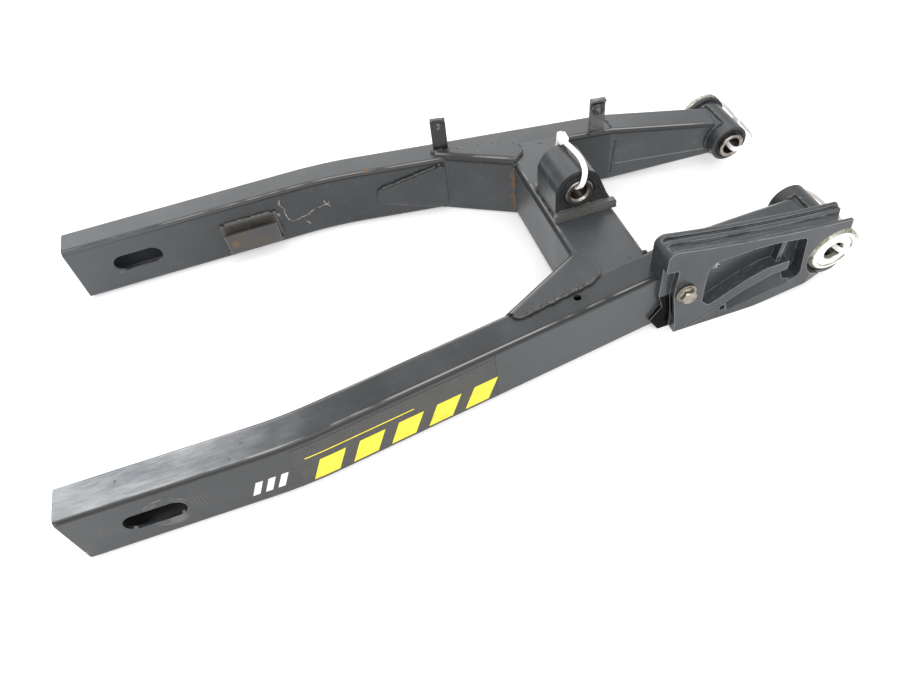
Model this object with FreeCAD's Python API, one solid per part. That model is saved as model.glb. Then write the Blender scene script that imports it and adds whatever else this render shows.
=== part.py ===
"""Rear swingarm of a small off-road motorcycle: welded steel box tubes with a chain slider."""
import FreeCAD
import Part
import math
import os

os.makedirs("parts", exist_ok=True)

VEC = FreeCAD.Vector

# Frame: the origin is the middle of the pivot axis, X points to the pivot end, Y to the brake side.
# The arm lies with the underside it has on the motorcycle facing up, so Z is up as it rests.

# Arm tubes
TUBE_WIDTH = 25.0
TUBE_WALL = 2.0
TUBE_CORNER = 4.0
TUBE_TOP = 25.4
TUBE_BOTTOM = -24.6
REAR_END_X = -527.5
ARM_FRONT_X = -92.0
LEFT_REAR_Y = -115.8
LEFT_BEND_X = -391.0
LEFT_FRONT_Y = -72.7
RIGHT_REAR_Y = 115.8
RIGHT_BEND_X = -321.0
RIGHT_FRONT_Y = 76.4
BEND_RADIUS = 300.0

# Axle slots and the small vent hole
SLOT_SETBACK = 29.5
SLOT_LENGTH = 37.8
SLOT_WIDTH = 15.5
SLOT_Z = 0.4
VENT_X = -191.0
VENT_RADIUS = 2.6

# Tapered front sections
FRONT_WALL = 2.4
FRONT_TIP_X = -8.0
FRONT_TIP_Y = 61.3
FRONT_TIP_HEIGHT = 30.6

# Pivot tubes, bearings and sleeves
PIVOT_TUBE_RADIUS = 15.0
BEARING_RADIUS = 13.0
PIVOT_INNER_Y = 38.3
LEFT_TUBE_END_Y = 90.0
RIGHT_TUBE_END_Y = 80.0
TUBE_CHAMFER = 0.6
SLEEVE_RADIUS = 10.0
SLEEVE_BORE_RADIUS = 7.1
SLEEVE_INNER_Y = 34.9
SLEEVE_CHAMFER = 0.5
ROLLER_DIAMETER = 2.2
ROLLER_COUNT = 16
RUNNING_CLEARANCE = 0.02
CUP_LENGTH = 28.0
CUP_LIP = 0.8
ROLLER_END_GAP = 1.2
SEAL_THICKNESS = 3.2
SEAL_SET_BACK = 0.4
SEAL_CLEARANCE = 0.06

# Outer dust seals and plated caps
DUST_SEAL_RADIUS = 17.6
DUST_SEAL_THICKNESS = 3.4
DUST_SEAL_SEAT = 2.2
CAP_RADIUS = 18.0
CAP_THICKNESS = 5.4
CAP_FACE_RADIUS = 13.6
CAP_RECESS = 0.8
CAP_GAP = 0.25

# Cross tube
CROSS_REAR_X = -179.0
CROSS_FRONT_X = -131.6
CROSS_WALL = 2.5
CROSS_CORNER = 5.0

# Gussets
GUSSET_PLATE = 2.6
GUSSET_WALL = 3.0
GUSSET_ROUND = 5.0
GUSSET_FOLD = 6.0
GUSSET_CROSS_LAP = 10.4
GUSSET_ARM_LAP = 8.0
GUSSET_NOSE_SHARE = 0.42
LEFT_GUSSET_BACK = 60.0
LEFT_GUSSET_IN = 24.1
LEFT_GUSSET_TIP_LAP = 0.2
RIGHT_GUSSET_BACK = 56.5
RIGHT_GUSSET_IN = 20.1
RIGHT_GUSSET_TIP_LAP = 4.2
TONGUE_BACK = 104.0
TONGUE_START = 49.0
TONGUE_REAR_HEIGHT = 12.0

# Linkage pivot on the cross tube
LINK_SETBACK = 26.4
LINK_RISE = 20.6
LINK_X = CROSS_FRONT_X - LINK_SETBACK
LINK_Z = TUBE_TOP + LINK_RISE
LINK_NEAR_Y = -13.0
LINK_FAR_Y = 20.0
LINK_ARC_RADIUS = 17.0
LINK_SHEET = 3.0
LINK_FOOT_STEP = 0.4
LINK_FOOT_FRONT_X = CROSS_FRONT_X + LINK_FOOT_STEP
LINK_TUBE_WALL = 1.0
LINK_SLEEVE_BORE = 6.1
LINK_SLEEVE_STAND = 2.6
LINK_SLEEVE_LEAD = 1.3
LINK_SEAL_STAND = 2.0
LINK_PLATE = 3.0
LINK_PLATE_SET_BACK = 0.6
STRIP_HEIGHT = 6.2
STRIP_THICKNESS = 4.0
STRIP_OVERHANG = 1.6

# Hose guides
GUIDE_WIDTH = 12.0
GUIDE_THICKNESS = 2.4
GUIDE_HEIGHT = 31.5
GUIDE_LIP = 6.0
GUIDE_BEND_RADIUS = 3.4
GUIDE_HOLE_Z = 23.2
GUIDE_THREAD_RADIUS = 2.5
NUT_RADIUS = 5.2
NUT_LENGTH = 4.6
REAR_GUIDE_X = -225.6
REAR_GUIDE_Y = 99.4
REAR_GUIDE_TURN = -16.0
FRONT_GUIDE_X = -105.4
FRONT_GUIDE_Y = 69.6
FRONT_GUIDE_TURN = -10.0

# Brake caliper rail on the inner face of the right arm
RAIL_LENGTH = 42.0
RAIL_SETBACK = 46.5
RAIL_FRONT_X = RIGHT_BEND_X - RAIL_SETBACK
RAIL_REAR_X = RAIL_FRONT_X - RAIL_LENGTH
RAIL_BACK_TOP = 9.5
RAIL_TOP = 4.0
RAIL_BOTTOM = -14.7
RAIL_STAND = 9.0
RAIL_LIP = 3.2
RAIL_GROOVE_DEPTH = 9.0
RAIL_BACK = 2.0

# Chain slider
SLIDER_INNER_Y = -79.0
SLIDER_OUTER_TOP_Y = -98.0
SLIDER_OUTER_BOTTOM_Y = -101.2
SLIDER_WALL = 3.4
SLIDER_REAR_X = -135.0
SLIDER_TIP_X = 2.5
SLIDER_REAR_TOP = 52.5
SLIDER_MID_X = -60.0
SLIDER_MID_TOP = 38.3
SLIDER_TIP_TOP = 31.0
SLIDER_BOTTOM = -26.4
SLIDER_TIP_BOTTOM = -13.6
SLIDER_TIP_CHIN = 2.5
SLIDER_CHIN_X = -12.5
SLIDER_CHIN_Z = -18.2
SLIDER_LOBE = 4.0
SLIDER_LOBE_Z = -14.0
SLIDER_WAIST_Z = -3.0
SLIDER_HEEL_Z = 10.0
SLIDER_REAR_ROUND = 6.0
SLIDER_CHIN_ROUND = 1.2
PANEL_REAR_X = -125.6
PANEL_TOP_Z = 34.0
PANEL_RECESS_Y = -94.4
PANEL_SKIN = 2.2
CAP_OPENING_X = -4.5
CAP_OPENING_Z = 4.2
CAP_OPENING_RADIUS = 20.0
CAP_ROOM = 0.7
NOSE_WALL = 2.2
NOSE_FACE_Y = -95.4
NOSE_REAR_X = -14.0
NOSE_FRONT_X = 9.6
NOSE_TOP_Z = -9.0
NOSE_TURN_X = -22.0
NOTCH_REAR_X = -8.0
NOTCH_LIP_Y = -96.4
NOTCH_RIDGE_Y = -84.0
POCKET_FLOOR_Y = -90.6
POCKET_BACK = 2.4
RIB_TOP = (-46.0, 36.0)
RIB_FOOT = (-47.3, 6.0)
RIB_CREST_Y = -96.4
RIB_WIDTH = 3.2
CREASE_REAR = (-112.7, -24.1)
CREASE_FRONT = (-88.0, -12.6)
CREASE_WIDTH = 1.6
DIMPLE_X = -86.0
DIMPLE_Z = -17.0
DIMPLE_RADIUS = 2.2
DIMPLE_FLOOR_Y = -97.0
LANE_DEPTH = 1.5
INNER_LANE_Y = (-85.6, -82.6)
OUTER_LANE_Y = (-95.6, -89.2)
SLIDER_CLEARANCE = 0.3
SLIDER_OUTSIDE_Y = SLIDER_OUTER_BOTTOM_Y - 10.0

# Slider fixing
BOLT_X = -118.4
BOLT_Z = 11.9
BOLT_RADIUS = 3.0
BOLT_HOLE_RADIUS = 3.3
BOLT_HEAD_FLATS = 10.0
BOLT_HEAD_HEIGHT = 4.4
BOLT_FLANGE_RADIUS = 6.0
BOLT_FLANGE_THICKNESS = 1.2
BOLT_LENGTH = 21.0
WASHER_RADIUS = 7.2
WASHER_THICKNESS = 1.4
FIXING_BOSS_RADIUS = 6.6
BOLT_NUT_FLATS = 10.0
BOLT_NUT_HEIGHT = 5.0
BOLT_NUT_GAP = 0.9


def save(name, solids):
    shape = solids[0] if len(solids) == 1 else Part.makeCompound(solids)
    shape.exportStep("parts/" + name + ".step")


def loop_face(edges):
    return Part.Face(Part.Wire(Part.__sortEdges__(edges)))


def polygon_face(points):
    return Part.Face(Part.makePolygon(points + [points[0]]))


def rounded_polygon(points, radii):
    """Face bounded by straight stretches joined by arcs of the given radii."""
    count = len(points)
    starts = []
    ends = []
    mids = []
    for index in range(count):
        corner = points[index]
        back = (points[index - 1] - corner).normalize()
        ahead = (points[(index + 1) % count] - corner).normalize()
        half = back.getAngle(ahead) / 2.0
        reach = radii[index] / math.tan(half)
        bisector = (back + ahead).normalize()
        centre = corner + bisector * (radii[index] / math.sin(half))
        starts.append(corner + back * reach)
        ends.append(corner + ahead * reach)
        mids.append(centre - bisector * radii[index])
    edges = []
    for index in range(count):
        if radii[index] > 0:
            edges.append(Part.Arc(starts[index], mids[index], ends[index]).toShape())
        following = starts[(index + 1) % count]
        if ends[index].distanceToPoint(following) > 1e-6:
            edges.append(Part.makeLine(ends[index], following))
    return Part.Face(Part.Wire(edges))


def prism(points, radii, direction):
    return rounded_polygon(points, radii).extrude(direction)


def cylinder(radius, start, end):
    axis = end - start
    return Part.makeCylinder(radius, axis.Length, start, axis)


def turned(profile, origin, axis):
    """Ring turned from a profile of (distance along axis, radius) points."""
    side = VEC(0, 0, 1)
    points = [origin + axis * along + side * radius for along, radius in profile]
    return polygon_face(points).revolve(origin, axis, 360)


# Arm tubes

def strip_edges(start, bend, end, offset):
    """One long side of a bent strip: straight, arc, straight."""
    first = (bend - start).normalize()
    second = (end - bend).normalize()
    turn = first.getAngle(second)
    sense = 1.0 if first.cross(second).z > 0 else -1.0
    reach = BEND_RADIUS * math.tan(turn / 2.0)
    normal_1 = VEC(-first.y, first.x, 0)
    normal_2 = VEC(-second.y, second.x, 0)
    arc_start = bend - first * reach
    arc_end = bend + second * reach
    centre = arc_start + normal_1 * (sense * BEND_RADIUS)
    middle = (normal_1 + normal_2).normalize()
    mid_point = centre - middle * (sense * BEND_RADIUS)
    return [start + normal_1 * offset, arc_start + normal_1 * offset, mid_point + middle * offset,
            arc_end + normal_2 * offset, end + normal_2 * offset]


def strip_solid(start, bend, end, half_width, bottom, top, corner):
    """Bent bar with rounded long edges."""
    left = strip_edges(start, bend, end, half_width)
    right = strip_edges(start, bend, end, -half_width)
    edges = [
        Part.makeLine(left[0], left[1]),
        Part.Arc(left[1], left[2], left[3]).toShape(),
        Part.makeLine(left[3], left[4]),
        Part.makeLine(left[4], right[4]),
        Part.makeLine(right[4], right[3]),
        Part.Arc(right[3], right[2], right[1]).toShape(),
        Part.makeLine(right[1], right[0]),
        Part.makeLine(right[0], left[0]),
    ]
    face = Part.Face(Part.Wire(edges))
    face.translate(VEC(0, 0, bottom))
    bar = face.extrude(VEC(0, 0, top - bottom))
    long_edges = []
    for edge in bar.Edges:
        low = edge.BoundBox
        flat = low.ZLength < 0.01
        if flat and low.XLength > 6.0:
            long_edges.append(edge)
    return bar.makeFillet(corner, long_edges)


def arm_path(rear_y, bend_x, front_y):
    return VEC(REAR_END_X, rear_y, 0), VEC(bend_x, rear_y, 0), VEC(ARM_FRONT_X, front_y, 0)


def arm_envelope(rear_y, bend_x, front_y, overrun):
    start, bend, end = arm_path(rear_y, bend_x, front_y)
    ahead = (end - bend).normalize()
    return strip_solid(start, bend, end + ahead * overrun, TUBE_WIDTH / 2, TUBE_BOTTOM, TUBE_TOP, TUBE_CORNER)


def arm_hollow(rear_y, bend_x, front_y):
    start, bend, end = arm_path(rear_y, bend_x, front_y)
    inner = TUBE_WIDTH / 2 - TUBE_WALL
    ahead = (end - bend).normalize()
    return strip_solid(start - VEC(5, 0, 0), bend, end + ahead * 5, inner, TUBE_BOTTOM + TUBE_WALL,
                       TUBE_TOP - TUBE_WALL, TUBE_CORNER - TUBE_WALL)


def axle_slot(rear_y):
    half = SLOT_WIDTH / 2
    slot_rear_x = REAR_END_X + SLOT_SETBACK
    low = VEC(slot_rear_x + half, rear_y - TUBE_WIDTH, SLOT_Z - half)
    front_x = slot_rear_x + SLOT_LENGTH - half
    points = [low, VEC(front_x, low.y, low.z), VEC(front_x, low.y, SLOT_Z + half),
              VEC(low.x, low.y, SLOT_Z + half)]
    slot = prism(points, [0] * 4, VEC(0, 2 * TUBE_WIDTH, 0))
    for end_x in (low.x, front_x):
        spot = VEC(end_x, low.y, SLOT_Z)
        slot = slot.fuse(cylinder(half, spot, spot + VEC(0, 2 * TUBE_WIDTH, 0)))
    return slot.removeSplitter()


def arm_direction(rear_y, bend_x, front_y):
    return (VEC(ARM_FRONT_X, front_y, 0) - VEC(bend_x, rear_y, 0)).normalize()


def arm_centre_y(rear_y, bend_x, front_y, x):
    share = (x - bend_x) / (ARM_FRONT_X - bend_x)
    return rear_y + (front_y - rear_y) * share


def inner_face_y(rear_y, bend_x, front_y, x):
    """Y of the inner face of the arm's slanted stretch."""
    sense = 1.0 if rear_y > 0 else -1.0
    half = TUBE_WIDTH / 2 / arm_direction(rear_y, bend_x, front_y).x
    return arm_centre_y(rear_y, bend_x, front_y, x) - sense * half


LEFT_NUMBERS = (LEFT_REAR_Y, LEFT_BEND_X, LEFT_FRONT_Y)
RIGHT_NUMBERS = (RIGHT_REAR_Y, RIGHT_BEND_X, RIGHT_FRONT_Y)
left_outer = arm_envelope(*LEFT_NUMBERS, 0.0)
right_outer = arm_envelope(*RIGHT_NUMBERS, 0.0)
left_arm = left_outer.cut(arm_hollow(*LEFT_NUMBERS)).cut(axle_slot(LEFT_REAR_Y))
right_arm = right_outer.cut(arm_hollow(*RIGHT_NUMBERS)).cut(axle_slot(RIGHT_REAR_Y))
vent_y = arm_centre_y(*LEFT_NUMBERS, VENT_X)
vent_hole = cylinder(VENT_RADIUS, VEC(VENT_X, vent_y, 0), VEC(VENT_X, vent_y, TUBE_TOP + 5))
bolt_hole = cylinder(BOLT_RADIUS, VEC(BOLT_X, SLIDER_OUTER_TOP_Y, BOLT_Z), VEC(BOLT_X, LEFT_FRONT_Y, BOLT_Z))
left_arm = left_arm.cut(vent_hole).cut(bolt_hole)


# Tapered front sections

def front_envelope(front_y, tip_y, clearance, rear_run, tip_run):
    """Wedge-shaped bar from the arm's front end to the pivot tube, grown all round by a clearance."""
    rear = VEC(ARM_FRONT_X, front_y, 0)
    tip = VEC(FRONT_TIP_X, tip_y, 0)
    ahead = (tip - rear).normalize()
    side = VEC(-ahead.y, ahead.x, 0)
    half = TUBE_WIDTH / 2 + clearance
    reach = (tip - rear).Length
    top_fall = (TUBE_TOP - FRONT_TIP_HEIGHT / 2) / reach
    bottom_rise = (-FRONT_TIP_HEIGHT / 2 - TUBE_BOTTOM) / reach
    start = rear - ahead * rear_run - side * half
    finish = tip + ahead * tip_run - side * half
    points = [start + VEC(0, 0, TUBE_BOTTOM - clearance - bottom_rise * rear_run),
              finish + VEC(0, 0, -FRONT_TIP_HEIGHT / 2 - clearance + bottom_rise * tip_run),
              finish + VEC(0, 0, FRONT_TIP_HEIGHT / 2 + clearance - top_fall * tip_run),
              start + VEC(0, 0, TUBE_TOP + clearance + top_fall * rear_run)]
    bar = polygon_face(points).extrude(side * (2 * half))
    long_edges = []
    for edge in bar.Edges:
        if abs(edge.tangentAt(edge.FirstParameter).dot(ahead)) > 0.9:
            long_edges.append(edge)
    return bar.makeFillet(TUBE_CORNER + clearance * 0.6, long_edges)


def front_section(front_y, tip_y, direction):
    """Hollow wedge, cut square to the arm at the rear and coped to the pivot tube."""
    outer = front_envelope(front_y, tip_y, 0.0, 3.0, 0.0)
    inner = front_envelope(front_y, tip_y, -FRONT_WALL, 6.0, 1.5)
    tube = cylinder(PIVOT_TUBE_RADIUS, VEC(0, -150, 0), VEC(0, 150, 0))
    joint = VEC(ARM_FRONT_X, front_y, -50)
    side = VEC(-direction.y, direction.x, 0) * 50
    behind = [joint - side, joint + side, joint + side - direction * 50, joint - side - direction * 50]
    waste = polygon_face(behind).extrude(VEC(0, 0, 100))
    return outer.cut(inner).cut(tube).cut(waste)


left_front = front_section(LEFT_FRONT_Y, -FRONT_TIP_Y, arm_direction(*LEFT_NUMBERS))
right_front = front_section(RIGHT_FRONT_Y, FRONT_TIP_Y, arm_direction(*RIGHT_NUMBERS))


# Cross tube

def cross_block(inset, overrun):
    """Bar that runs past the middle of both arms."""
    start_y = arm_centre_y(*LEFT_NUMBERS, CROSS_FRONT_X) - overrun
    end_y = arm_centre_y(*RIGHT_NUMBERS, CROSS_FRONT_X) + overrun
    low = VEC(CROSS_REAR_X + inset, start_y, TUBE_BOTTOM + inset)
    high_x = CROSS_FRONT_X - inset
    high_z = TUBE_TOP - inset
    points = [low, VEC(high_x, start_y, low.z), VEC(high_x, start_y, high_z), VEC(low.x, start_y, high_z)]
    return prism(points, [CROSS_CORNER - inset * 0.8] * 4, VEC(0, end_y - start_y, 0))


cross_outer = cross_block(0.0, 0.0)
cross_tube = cross_outer.cut(cross_block(CROSS_WALL, 5.0)).cut(left_outer).cut(right_outer)


# Gussets in the rear corners: a cap plate, an upright wall and a floor plate in one pressing

def gusset(arm_numbers, back, reach_in, tip_lap, arm_solid):
    """Gusset placed by its reach behind the cross tube and inwards from the arm."""
    sense = 1.0 if arm_numbers[0] > 0 else -1.0

    def spot(ahead, inward):
        x = CROSS_REAR_X + ahead
        return VEC(x, inner_face_y(*arm_numbers, x) - sense * inward, TUBE_TOP)

    lap = GUSSET_ARM_LAP
    nose = reach_in * GUSSET_NOSE_SHARE
    outline = [spot(-back, -tip_lap), spot(0, reach_in), spot(GUSSET_CROSS_LAP, nose),
               spot(GUSSET_CROSS_LAP, -lap * 0.3), spot(0, -lap * 0.8), spot(-back * 0.42, -lap * 0.9),
               spot(-back * 0.88, -lap * 1.1)]
    plate = prism(outline, [2.0, 4.0, GUSSET_ROUND, GUSSET_ROUND, 6.0, 8.0, 3.0], VEC(0, 0, GUSSET_PLATE))
    lift = VEC(0, 0, TUBE_BOTTOM - TUBE_TOP)
    rear = outline[0] + lift
    front = outline[1] + lift
    along = (front - rear).normalize()
    inward = VEC(-along.y, along.x, 0) * (sense * GUSSET_WALL)
    run = along * GUSSET_ARM_LAP
    wall = polygon_face([rear, front + run, front + run + inward, rear + inward]).extrude(-lift)
    floor = polygon_face([rear, front + run, VEC(front.x, rear.y, front.z) + run]).extrude(VEC(0, 0, GUSSET_WALL))
    pressed = wall.fuse(floor).cut(arm_solid).cut(cross_outer)
    return plate.fuse(pressed).removeSplitter().cut(fold_waste(outline[0], outline[1], sense))


def fold_waste(rear, front, sense):
    """What lies outside the round fold between a gusset's top plate and its wall."""
    lift = VEC(0, 0, GUSSET_PLATE)
    along = (front - rear).normalize()
    inward = VEC(-along.y, along.x, 0) * (sense * GUSSET_FOLD)
    down = VEC(0, 0, -GUSSET_FOLD)
    edge = rear + lift - along * GUSSET_FOLD
    middle = edge + (inward + down) * (1.0 - math.sqrt(0.5))
    face = loop_face([Part.makeLine(edge, edge + inward), Part.Arc(edge + inward, middle, edge + down).toShape(),
                      Part.makeLine(edge + down, edge)])
    return face.extrude(along * ((front - rear).Length + GUSSET_FOLD))


left_gusset = gusset(LEFT_NUMBERS, LEFT_GUSSET_BACK, LEFT_GUSSET_IN, LEFT_GUSSET_TIP_LAP, left_outer)
right_gusset = gusset(RIGHT_NUMBERS, RIGHT_GUSSET_BACK, RIGHT_GUSSET_IN, RIGHT_GUSSET_TIP_LAP, right_outer)


# Tapered tongue plate that carries the right gusset's load back along the arm

def tongue():
    """Plate flat on the arm's inner face, as high as the arm at the gusset and narrow at its rear end."""
    direction = arm_direction(*RIGHT_NUMBERS)
    side = VEC(direction.y, -direction.x, 0)
    front_x = CROSS_REAR_X - TONGUE_START
    rear_x = CROSS_REAR_X - TONGUE_BACK
    front = VEC(front_x, inner_face_y(*RIGHT_NUMBERS, front_x), 0)
    rear = VEC(rear_x, inner_face_y(*RIGHT_NUMBERS, rear_x), 0)
    low = VEC(0, 0, TUBE_BOTTOM + TUBE_CORNER)
    high = VEC(0, 0, TUBE_TOP - TUBE_CORNER)
    half = VEC(0, 0, TONGUE_REAR_HEIGHT / 2)
    points = [front + low, front + high, rear + half, rear - half]
    return prism(points, [2.0, 2.0, 5.0, 5.0], side * GUSSET_WALL)


right_tongue = tongue().cut(right_gusset).cut(right_outer)


# Pivot tubes with their bearings, sleeves, seals and caps

def pivot_stack(sense, tube_end):
    """The pieces of one pivot, from the inner end of its tube outwards."""
    axis = VEC(0, sense, 0)
    origin = VEC(0, 0, 0)
    inner = PIVOT_INNER_Y
    chamfer = TUBE_CHAMFER
    tube = turned([(inner, BEARING_RADIUS + chamfer), (inner, PIVOT_TUBE_RADIUS - chamfer),
                   (inner + chamfer, PIVOT_TUBE_RADIUS), (tube_end - chamfer, PIVOT_TUBE_RADIUS),
                   (tube_end, PIVOT_TUBE_RADIUS - chamfer), (tube_end, BEARING_RADIUS),
                   (inner + chamfer, BEARING_RADIUS)], origin, axis)
    middle = (inner + tube_end) / 2
    cup, rollers = needle_bearing(origin + axis * middle, axis)
    cap_start = tube_end + DUST_SEAL_THICKNESS - DUST_SEAL_SEAT + CAP_GAP
    cap_end = cap_start + CAP_THICKNESS
    bore = SLEEVE_BORE_RADIUS
    sleeve_end = cap_start + 1.2
    sleeve = turned([(SLEEVE_INNER_Y, bore + SLEEVE_CHAMFER), (SLEEVE_INNER_Y, SLEEVE_RADIUS - SLEEVE_CHAMFER),
                     (SLEEVE_INNER_Y + SLEEVE_CHAMFER, SLEEVE_RADIUS), (sleeve_end, SLEEVE_RADIUS),
                     (sleeve_end, bore), (SLEEVE_INNER_Y + SLEEVE_CHAMFER, bore)], origin, axis)
    seal_start = inner + SEAL_SET_BACK
    seal = lip_seal(origin, axis, seal_start)
    seal_inner = SLEEVE_RADIUS + SEAL_CLEARANCE
    dust_start = tube_end - DUST_SEAL_SEAT
    dust_end = dust_start + DUST_SEAL_THICKNESS
    dust = turned([(dust_start, PIVOT_TUBE_RADIUS), (dust_start, DUST_SEAL_RADIUS - 0.8),
                   (dust_start + 0.8, DUST_SEAL_RADIUS), (dust_end - 0.6, DUST_SEAL_RADIUS),
                   (dust_end, DUST_SEAL_RADIUS - 0.6), (dust_end, seal_inner), (tube_end, seal_inner),
                   (tube_end, PIVOT_TUBE_RADIUS)], origin, axis)
    cap = turned([(cap_start, SLEEVE_RADIUS), (cap_start, CAP_RADIUS - 0.7), (cap_start + 0.7, CAP_RADIUS),
                  (cap_end - 2.6, CAP_RADIUS), (cap_end - 0.6, CAP_RADIUS - 1.9), (cap_end, CAP_RADIUS - 3.0),
                  (cap_end, CAP_FACE_RADIUS), (cap_end - CAP_RECESS, CAP_FACE_RADIUS - 0.9),
                  (cap_end - CAP_RECESS, bore + 0.6), (cap_end - CAP_RECESS - 0.6, bore), (sleeve_end, bore),
                  (sleeve_end, SLEEVE_RADIUS)], origin, axis)
    return tube, cup, rollers, sleeve, seal, dust, cap


def lip_seal(origin, axis, start):
    """Rubber ring with a V groove in its face and a fine gap to the sleeve."""
    inner = SLEEVE_RADIUS + SEAL_CLEARANCE
    end = start + SEAL_THICKNESS
    mid = (inner + BEARING_RADIUS) / 2
    return turned([(start, inner), (start, mid - 0.5), (start + 1.2, mid), (start, mid + 0.5),
                   (start, BEARING_RADIUS), (end, BEARING_RADIUS), (end, inner)], origin, axis)


def needle_bearing(middle, axis):
    """Drawn cup with a lip at each end, and its ring of rollers."""
    pitch = SLEEVE_RADIUS + RUNNING_CLEARANCE + ROLLER_DIAMETER / 2
    race = pitch + ROLLER_DIAMETER / 2
    half = CUP_LENGTH / 2
    lip = pitch - ROLLER_DIAMETER * 0.2
    roller_length = CUP_LENGTH - 2 * (CUP_LIP + ROLLER_END_GAP)
    cup = turned([(-half, lip), (-half, BEARING_RADIUS), (half, BEARING_RADIUS), (half, lip),
                  (half - CUP_LIP, lip), (half - CUP_LIP, race), (CUP_LIP - half, race), (CUP_LIP - half, lip)],
                 middle, axis)
    rollers = []
    for index in range(ROLLER_COUNT):
        angle = 2 * math.pi * index / ROLLER_COUNT
        spot = middle + VEC(pitch * math.cos(angle), 0, pitch * math.sin(angle)) - axis * (roller_length / 2)
        rollers.append(Part.makeCylinder(ROLLER_DIAMETER / 2, roller_length, spot, axis))
    return cup, rollers


left_stack = pivot_stack(-1.0, LEFT_TUBE_END_Y)
right_stack = pivot_stack(1.0, RIGHT_TUBE_END_Y)


# Linkage pivot: bent saddle over a bearing tube, closed by end plates, on foot strips

def saddle_profile(offset):
    """Tombstone outline in the XZ plane, moved inwards by an offset."""
    radius = LINK_ARC_RADIUS - offset
    rear_x = LINK_X - radius
    foot = VEC(LINK_FOOT_FRONT_X, LINK_NEAR_Y, TUBE_TOP)
    centre = VEC(LINK_X, LINK_NEAR_Y, LINK_Z)
    down = foot - centre
    reach = math.hypot(down.x, down.z)
    tilt = math.atan2(down.z, down.x) + math.acos(LINK_ARC_RADIUS / reach)
    normal = VEC(math.cos(tilt), 0, math.sin(tilt))
    tangent = centre + normal * radius
    slope = VEC(normal.z, 0, -normal.x)
    drop = (tangent.z - TUBE_TOP) / normal.x
    front_foot = tangent + slope * drop
    rear_foot = VEC(rear_x, LINK_NEAR_Y, TUBE_TOP)
    left = VEC(rear_x, LINK_NEAR_Y, LINK_Z)
    crown = centre + (normal + VEC(-1, 0, 0)).normalize() * radius
    return loop_face([Part.makeLine(rear_foot, left), Part.Arc(left, crown, tangent).toShape(),
                      Part.makeLine(tangent, front_foot), Part.makeLine(front_foot, rear_foot)])


def link_block(offset, start_y, end_y):
    face = saddle_profile(offset)
    face.translate(VEC(0, start_y - LINK_NEAR_Y, 0))
    return face.extrude(VEC(0, end_y - start_y, 0))


link_tube_radius = BEARING_RADIUS + LINK_TUBE_WALL
saddle = link_block(0.0, LINK_NEAR_Y, LINK_FAR_Y).cut(link_block(LINK_SHEET, LINK_NEAR_Y - 1, LINK_FAR_Y + 1))
saddle = saddle.cut(cross_outer)
link_near = VEC(LINK_X, LINK_NEAR_Y, LINK_Z)
link_far = VEC(LINK_X, LINK_FAR_Y, LINK_Z)
link_axis = VEC(0, 1, 0)
link_tube_solid = cylinder(link_tube_radius, link_near, link_far)
link_bore = cylinder(BEARING_RADIUS, link_near - link_axis, link_far + link_axis)
link_tube = link_tube_solid.cut(link_bore)
plate_near_y = LINK_NEAR_Y + LINK_PLATE_SET_BACK
plate_far_y = LINK_FAR_Y - LINK_PLATE_SET_BACK - LINK_PLATE
end_plates = []
for plate_y in (plate_near_y, plate_far_y):
    blank = link_block(LINK_SHEET, plate_y, plate_y + LINK_PLATE)
    end_plates.append(blank.cut(link_tube_solid).cut(cross_outer))

strip_length = (LINK_FOOT_FRONT_X - LINK_X) + LINK_ARC_RADIUS + 2 * STRIP_OVERHANG
strip_x = LINK_X - LINK_ARC_RADIUS - STRIP_OVERHANG
foot_strips = []
for strip_y in (LINK_NEAR_Y - STRIP_THICKNESS, LINK_FAR_Y):
    low = VEC(strip_x, strip_y, TUBE_TOP)
    across = VEC(0, STRIP_THICKNESS, 0)
    corners = [low, low + VEC(strip_length, 0, 0), low + VEC(strip_length, 0, STRIP_HEIGHT),
               low + VEC(0, 0, STRIP_HEIGHT)]
    foot_strips.append(prism(corners, [0.6, 0.6, 2.4, 2.4], across))

link_middle = (link_near + link_far) * 0.5
link_cup, link_rollers = needle_bearing(link_middle, link_axis)
seal_start = SEAL_SET_BACK - LINK_SEAL_STAND
link_seals = [lip_seal(link_near, link_axis, seal_start), lip_seal(link_far, -link_axis, seal_start)]
sleeve_start = -LINK_SLEEVE_STAND
sleeve_end = LINK_FAR_Y - LINK_NEAR_Y + LINK_SLEEVE_STAND
lead = LINK_SLEEVE_LEAD
link_sleeve = turned([(sleeve_start, LINK_SLEEVE_BORE + lead), (sleeve_start, SLEEVE_RADIUS - SLEEVE_CHAMFER),
                      (sleeve_start + SLEEVE_CHAMFER, SLEEVE_RADIUS), (sleeve_end - SLEEVE_CHAMFER, SLEEVE_RADIUS),
                      (sleeve_end, SLEEVE_RADIUS - SLEEVE_CHAMFER), (sleeve_end, LINK_SLEEVE_BORE + lead),
                      (sleeve_end - lead, LINK_SLEEVE_BORE), (sleeve_start + lead, LINK_SLEEVE_BORE)],
                     link_near, link_axis)


# Hose guides: bent strips with a weld nut

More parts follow.
